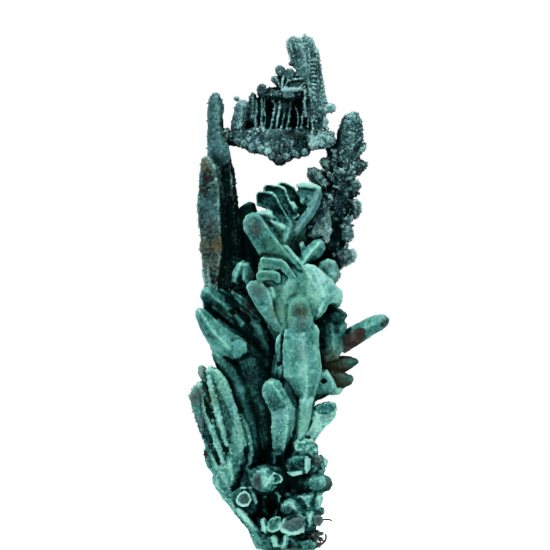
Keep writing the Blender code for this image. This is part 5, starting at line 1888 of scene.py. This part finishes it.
# the plate that carries the crown, the web behind its ribs with two gaps in it, and the bar over them; the
# web's back crystals are near black, a painted shade behind the ribs
CROWN_BAND = """
crystal 3.6 2.6 .5 .6 .6 skew=0 tone=-.2: -98,12,822 92,16,822;
crystal 9.6 1 .5 .9 .8 skew=0 tone=-1: -34,24,790 -14,23,906;
crystal 8 1 .5 .8 .8 skew=0 tone=-1: 26,24,802 40,23,916;
rounded .8 2.4 -.28: -104,838 -108,810 -96,806 -84,804 -74,796 -62,790 -52,792 -40,786 -28,782 -22,772
  -10,768 0,774 10,776 22,784 34,786 44,788 52,798 66,798 78,802 92,806 100,814 94,832 50,840 -10,842
  -60,840: -90,-4,822 -18,-6,814 86,-2,820;
table .3 1.4 -1: -62,904 -40,904 -42,834 -60,834: -52,9,896 -52,8,842;
table .3 1.4 .5: -20,904 14,904 10,834 -22,834: -2,9,896 -6,8,842;
table .3 1.4 -.42: 34,906 58,906 58,834 36,834: 46,8,896 46,7,842;
rounded .4 2 -.99: 20,830 40,834 44,798 32,786 18,798: 30,-8,818 30,-8,798;
table .3 1 .9: -84,834 -82,874 -70,878 -54,874 -54,834: -70,18,854;
roof .9 3 -1: -56,910 -46,918 -6,920 32,920 36,912 32,900 -6,898 -46,898: -44,-4,908 28,-9,908;
rounded .4 2 .9: -8,919 10,922 34,922 36,917 14,914 -6,914: 2,-13,918 30,-13,919;
table .5 2 -.1 tint=blue: -4,914 16,914 18,904 -2,902: 8,-12,909;
"""
CROWN_STAINS = """
copper 1 .6: -46,-4,924; copper .8 .6: -98,6,900; blue 1.8 .6: -88,-2,882; blue 1.6 .5: 82,-2,854;
"""


@dataclass
class CrownFrond(Branch):
    """The crown: a crusted band with thin upright ribs, hanging lobes, and a mast at its right."""

    stain_table = CROWN_STAINS

    def shapes(self) -> list[Shape]:
        """The band with its ribs and fringe, the mast with its beads, the leaves, then the knobs."""
        return [
            *table(CROWN_BAND), *self.ribs(), *self.fringe(), *table(CROWN_MAST), *self.beads(),
            *table(CROWN_LEAVES), *self.knobs(),
        ]

    def ribs(self) -> list[Shape]:
        """Thin wavy ribs side by side on the front of the web, and broader ones behind it."""
        ribs: list[Shape] = []
        for points, radius, tone in RIBS:
            route = tuple((x, CROWN_Y - 0.9 - 0.03 * (92.0 - z), z) for x, z in points)
            ribs.append(Wire(route, radius, tone))
        for i in range(5):
            x = -5.4 + 2.9 * i
            root, tip = (x, CROWN_Y + 1.7, 81.0), (x + 0.4, CROWN_Y + 1.8, 90.4)
            ribs.append(Crystal(root, tip, 1.3, 1.7, 0.7, 0.6, 0.9, skew=0.0, tone=0.1))
        return ribs

    def fringe(self) -> list[Shape]:
        """Rounded lobes along the band's lower edge, and upright folds on its front."""
        lobes: list[Shape] = []
        for i, (x, z, radius) in enumerate(SCALLOPS):
            for face, y in ((-1.0, CROWN_Y - 2.1), (1.0, CROWN_Y - 0.4)):
                lobes.append(pebble((x + 0.2 * face, y, z), radius, 0.1 + 0.25 * math.sin(2.2 * i + face)))
            for row in range(1, 4):
                place = (x + 0.3 * math.sin(3.1 * i + row), CROWN_Y - 1.75 + 0.12 * row, z + 1.1 * row)
                if place[2] < 83.0:
                    lobes.append(pebble(place, 0.7 * radius, -0.2 + 0.3 * math.sin(1.9 * i + 2.3 * row)))
        for i, x in enumerate((-7.4, -5.6, -3.6, -2.6, -1.7, -0.8, 0.4, 1.3, 5.2, 6.6, 8.0)):
            root, tip = (x + 0.3, CROWN_Y - 0.9, 83.6), (x, CROWN_Y - 1.3, 79.0 + 0.3 * abs(x + 1.0))
            lobes.append(Crystal(root, tip, 0.8, 1.4, 0.7, 0.6, skew=0.0, ledges=0, tone=0.3 * math.sin(1.7 * i)))
        return lobes

    def beads(self) -> list[Shape]:
        """The bars of the mast's groove, and the beads down its right edge."""
        y = CROWN_Y
        parts: list[Shape] = []
        for i in range(8):
            bar = tuple((x, y - 1.5, z - 0.8 * i) for x, z in ((5.2, 97.6), (5.7, 97.7), (6.2, 97.6)))
            parts.append(Wire(bar, 0.2, 0.05))
        beads = 10
        for i in range(beads):
            place = between((6.3, y - 1.0, 99.4), (7.5, y - 1.0, 91.6), i / (beads - 1))
            parts.append(pebble(place, 0.48, 0.15 * (-1.0) ** i))
            parts.append(pebble(shifted(place, -0.1, 1.3, 0.3), 0.6, 0.1))
        return parts

    def knobs(self) -> list[Shape]:
        """Small crystals all over both faces of the band."""
        random = np.random.default_rng(3)
        knobs: list[Shape] = []
        for i in range(170):
            x = float(random.uniform(-9.4, 8.6))
            low = 79.2 + (0.3 if x < -1.0 else 0.26) * abs(x + 1.0)
            z = float(random.uniform(low, 84.4))
            face = -1.0 if i % 2 else 1.0
            root = (x, CROWN_Y, z)
            tip = shifted(root, float(random.uniform(-0.6, 0.6)), face * float(random.uniform(1.3, 1.9)),
                          float(random.uniform(-0.6, 0.6)))
            size = float(random.uniform(0.45, 0.95))
            tone = float(random.uniform(-0.6, 0.5)) - 0.8 * (1.8 < x < 4.2)
            knobs.append(Crystal(root, tip, size, size, 0.7, 0.5, facets=4, ledges=0, tone=tone))
        return knobs


# ------------------------------------------------------------------ the studio


WHITE = (1.0, 1.0, 1.0, 1.0)


@dataclass(frozen=True)
class Studio:
    """A pale floor, soft light from all round and above, and the camera."""

    target: Point = (-2.0, 0.0, 54.8)
    distance: float = 700.0
    frame_width: float = 110.0

    def floor(self) -> None:
        """A round pale floor under the cut foot."""
        turn = np.linspace(0.0, 2 * math.pi, 96, endpoint=False)
        ring = np.stack([np.cos(turn), np.sin(turn), np.zeros(96)], axis=1) * 400.0
        sheet = ring_shell(np.stack([ring - (0.0, 0.0, 2.0), ring - (0.0, 0.0, 0.02)]))
        tree = Nodes.new("pale_floor")
        tree.surface(
            Base_Color=(0.93, 0.94, 0.94, 1.0), Roughness=0.7, Emission_Color=WHITE, Emission_Strength=0.6
        )
        mesh = mesh_of("floor", sheet, MM)
        mesh.materials.append(tree.owner)
        link(bpy.data.objects.new("floor", mesh))

    def panel(self, name: str, place: Point, aim: Point, size: tuple[float, float], power: float) -> None:
        """A soft rectangular light.

        Args:
            name: name of the light.
            place: where it hangs, in millimetres.
            aim: what it faces.
            size: width and height in millimetres.
            power: in watts.
        """
        light = bpy.data.lights.new(name, "AREA")
        light.shape = "RECTANGLE"
        light.size, light.size_y = size[0] * MM, size[1] * MM
        light.energy = power
        obj = link(bpy.data.objects.new(name, light))
        obj.location = Vector(place) * MM
        obj.rotation_euler = (Vector(aim) - Vector(place)).to_track_quat("-Z", "Y").to_euler()

    def lights(self) -> None:
        """A broad light above, one at the front left, one at the right and one behind."""
        self.panel("top_light", (-40.0, -150.0, 420.0), (0.0, 0.0, 50.0), (160.0, 120.0), 2.0)
        self.panel("left_light", (-340.0, -260.0, 160.0), (0.0, 0.0, 50.0), (200.0, 300.0), 0.34)
        self.panel("right_light", (360.0, -60.0, 140.0), (0.0, 0.0, 50.0), (200.0, 300.0), 0.26)
        self.panel("back_light", (0.0, 380.0, 200.0), (0.0, 0.0, 55.0), (500.0, 400.0), 1.6)

    def world(self) -> None:
        """A white surround to look at, which lights the group more softly than it looks."""
        world = bpy.data.worlds.new("surround")
        world.use_nodes = True
        world.node_tree.nodes.clear()
        tree = Nodes(world)
        watched = tree.add("ShaderNodeLightPath").outputs["Is Camera Ray"]
        strength = tree.add("ShaderNodeMix", None, Factor=watched, A=0.09, B=1.0).outputs["Result"]
        back = tree.add("ShaderNodeBackground", None, Color=WHITE, Strength=strength)
        tree.add("ShaderNodeOutputWorld", None, Surface=back.outputs[0])
        bpy.context.scene.world = world

    def camera(self) -> None:
        """A long lens, level with the middle of the group, that looks along +Y."""
        data = bpy.data.cameras.new("camera")
        data.sensor_width = 36.0
        data.lens = data.sensor_width * self.distance / self.frame_width
        data.clip_end = 10.0
        obj = link(bpy.data.objects.new("camera", data))
        obj.location = Vector(shifted(self.target, 0.0, -self.distance, 0.0)) * MM
        obj.rotation_euler = (math.radians(90.0), 0.0, 0.0)
        bpy.context.scene.camera = obj

    def build(self) -> None:
        """Sets everything up."""
        self.floor()
        self.lights()
        self.world()
        self.camera()
        bpy.context.scene.view_settings.view_transform = "Standard"


@dataclass
class CopperGroup:
    """The whole group."""

    branches: list[Branch]

    def build(self) -> None:
        """Fuses, embosses, paints and shows every branch."""
        for branch in self.branches:
            branch.fuse()
            branch.emboss()
        clouds = [read(branch.mesh, "co") for branch in self.branches]
        around = Surroundings.of(clouds)
        materials = {branch.coating.name: branch.coating.material() for branch in self.branches}
        for branch in self.branches:
            branch.paint(around)
            branch.finish(materials[branch.coating.name])


def main() -> None:
    """Builds the group and its studio."""
    logging.basicConfig(level=logging.INFO, format="%(name)s %(message)s")
    group = CopperGroup(
        [
            RootCluster("root_cluster", "malachite_teal", MALACHITE, floor=0.0, relief=0.08, druse=0.08, grains=1500,
                        recess_shade=0.65, edge_highlight=0.2),
            StemCluster("stem_cluster", "malachite_teal", MALACHITE, voxel=0.25, relief=0.08, recess_shade=0.62),
            Heart("stem_cluster", "malachite_teal", MALACHITE, "heart", voxel=0.215, relief=0.07, recess_shade=0.5),
            LeftFan("left_fan", "malachite_teal", MALACHITE, relief=0.07, druse=0.10, druse_size=0.7, grains=1200,
                    recess_shade=0.7),
            LeftSpire("left_spire", "mottled_copper", MOTTLED, relief=0.12, druse=0.11, druse_size=0.8, grains=400,
                      base_shade=0.42),
            RightFrond("right_frond", "dark_druse", DRUSE, druse=0.26, druse_size=0.7, grains=4600, base_shade=0.42),
            CrownFrond("crown_frond", "dark_druse", DRUSE, voxel=FINE_VOXEL, druse=0.22, druse_size=0.55, grains=4600,
                       base_shade=0.42),
        ]
    )
    group.build()
    Studio().build()


if __name__ == "__main__":
    main()
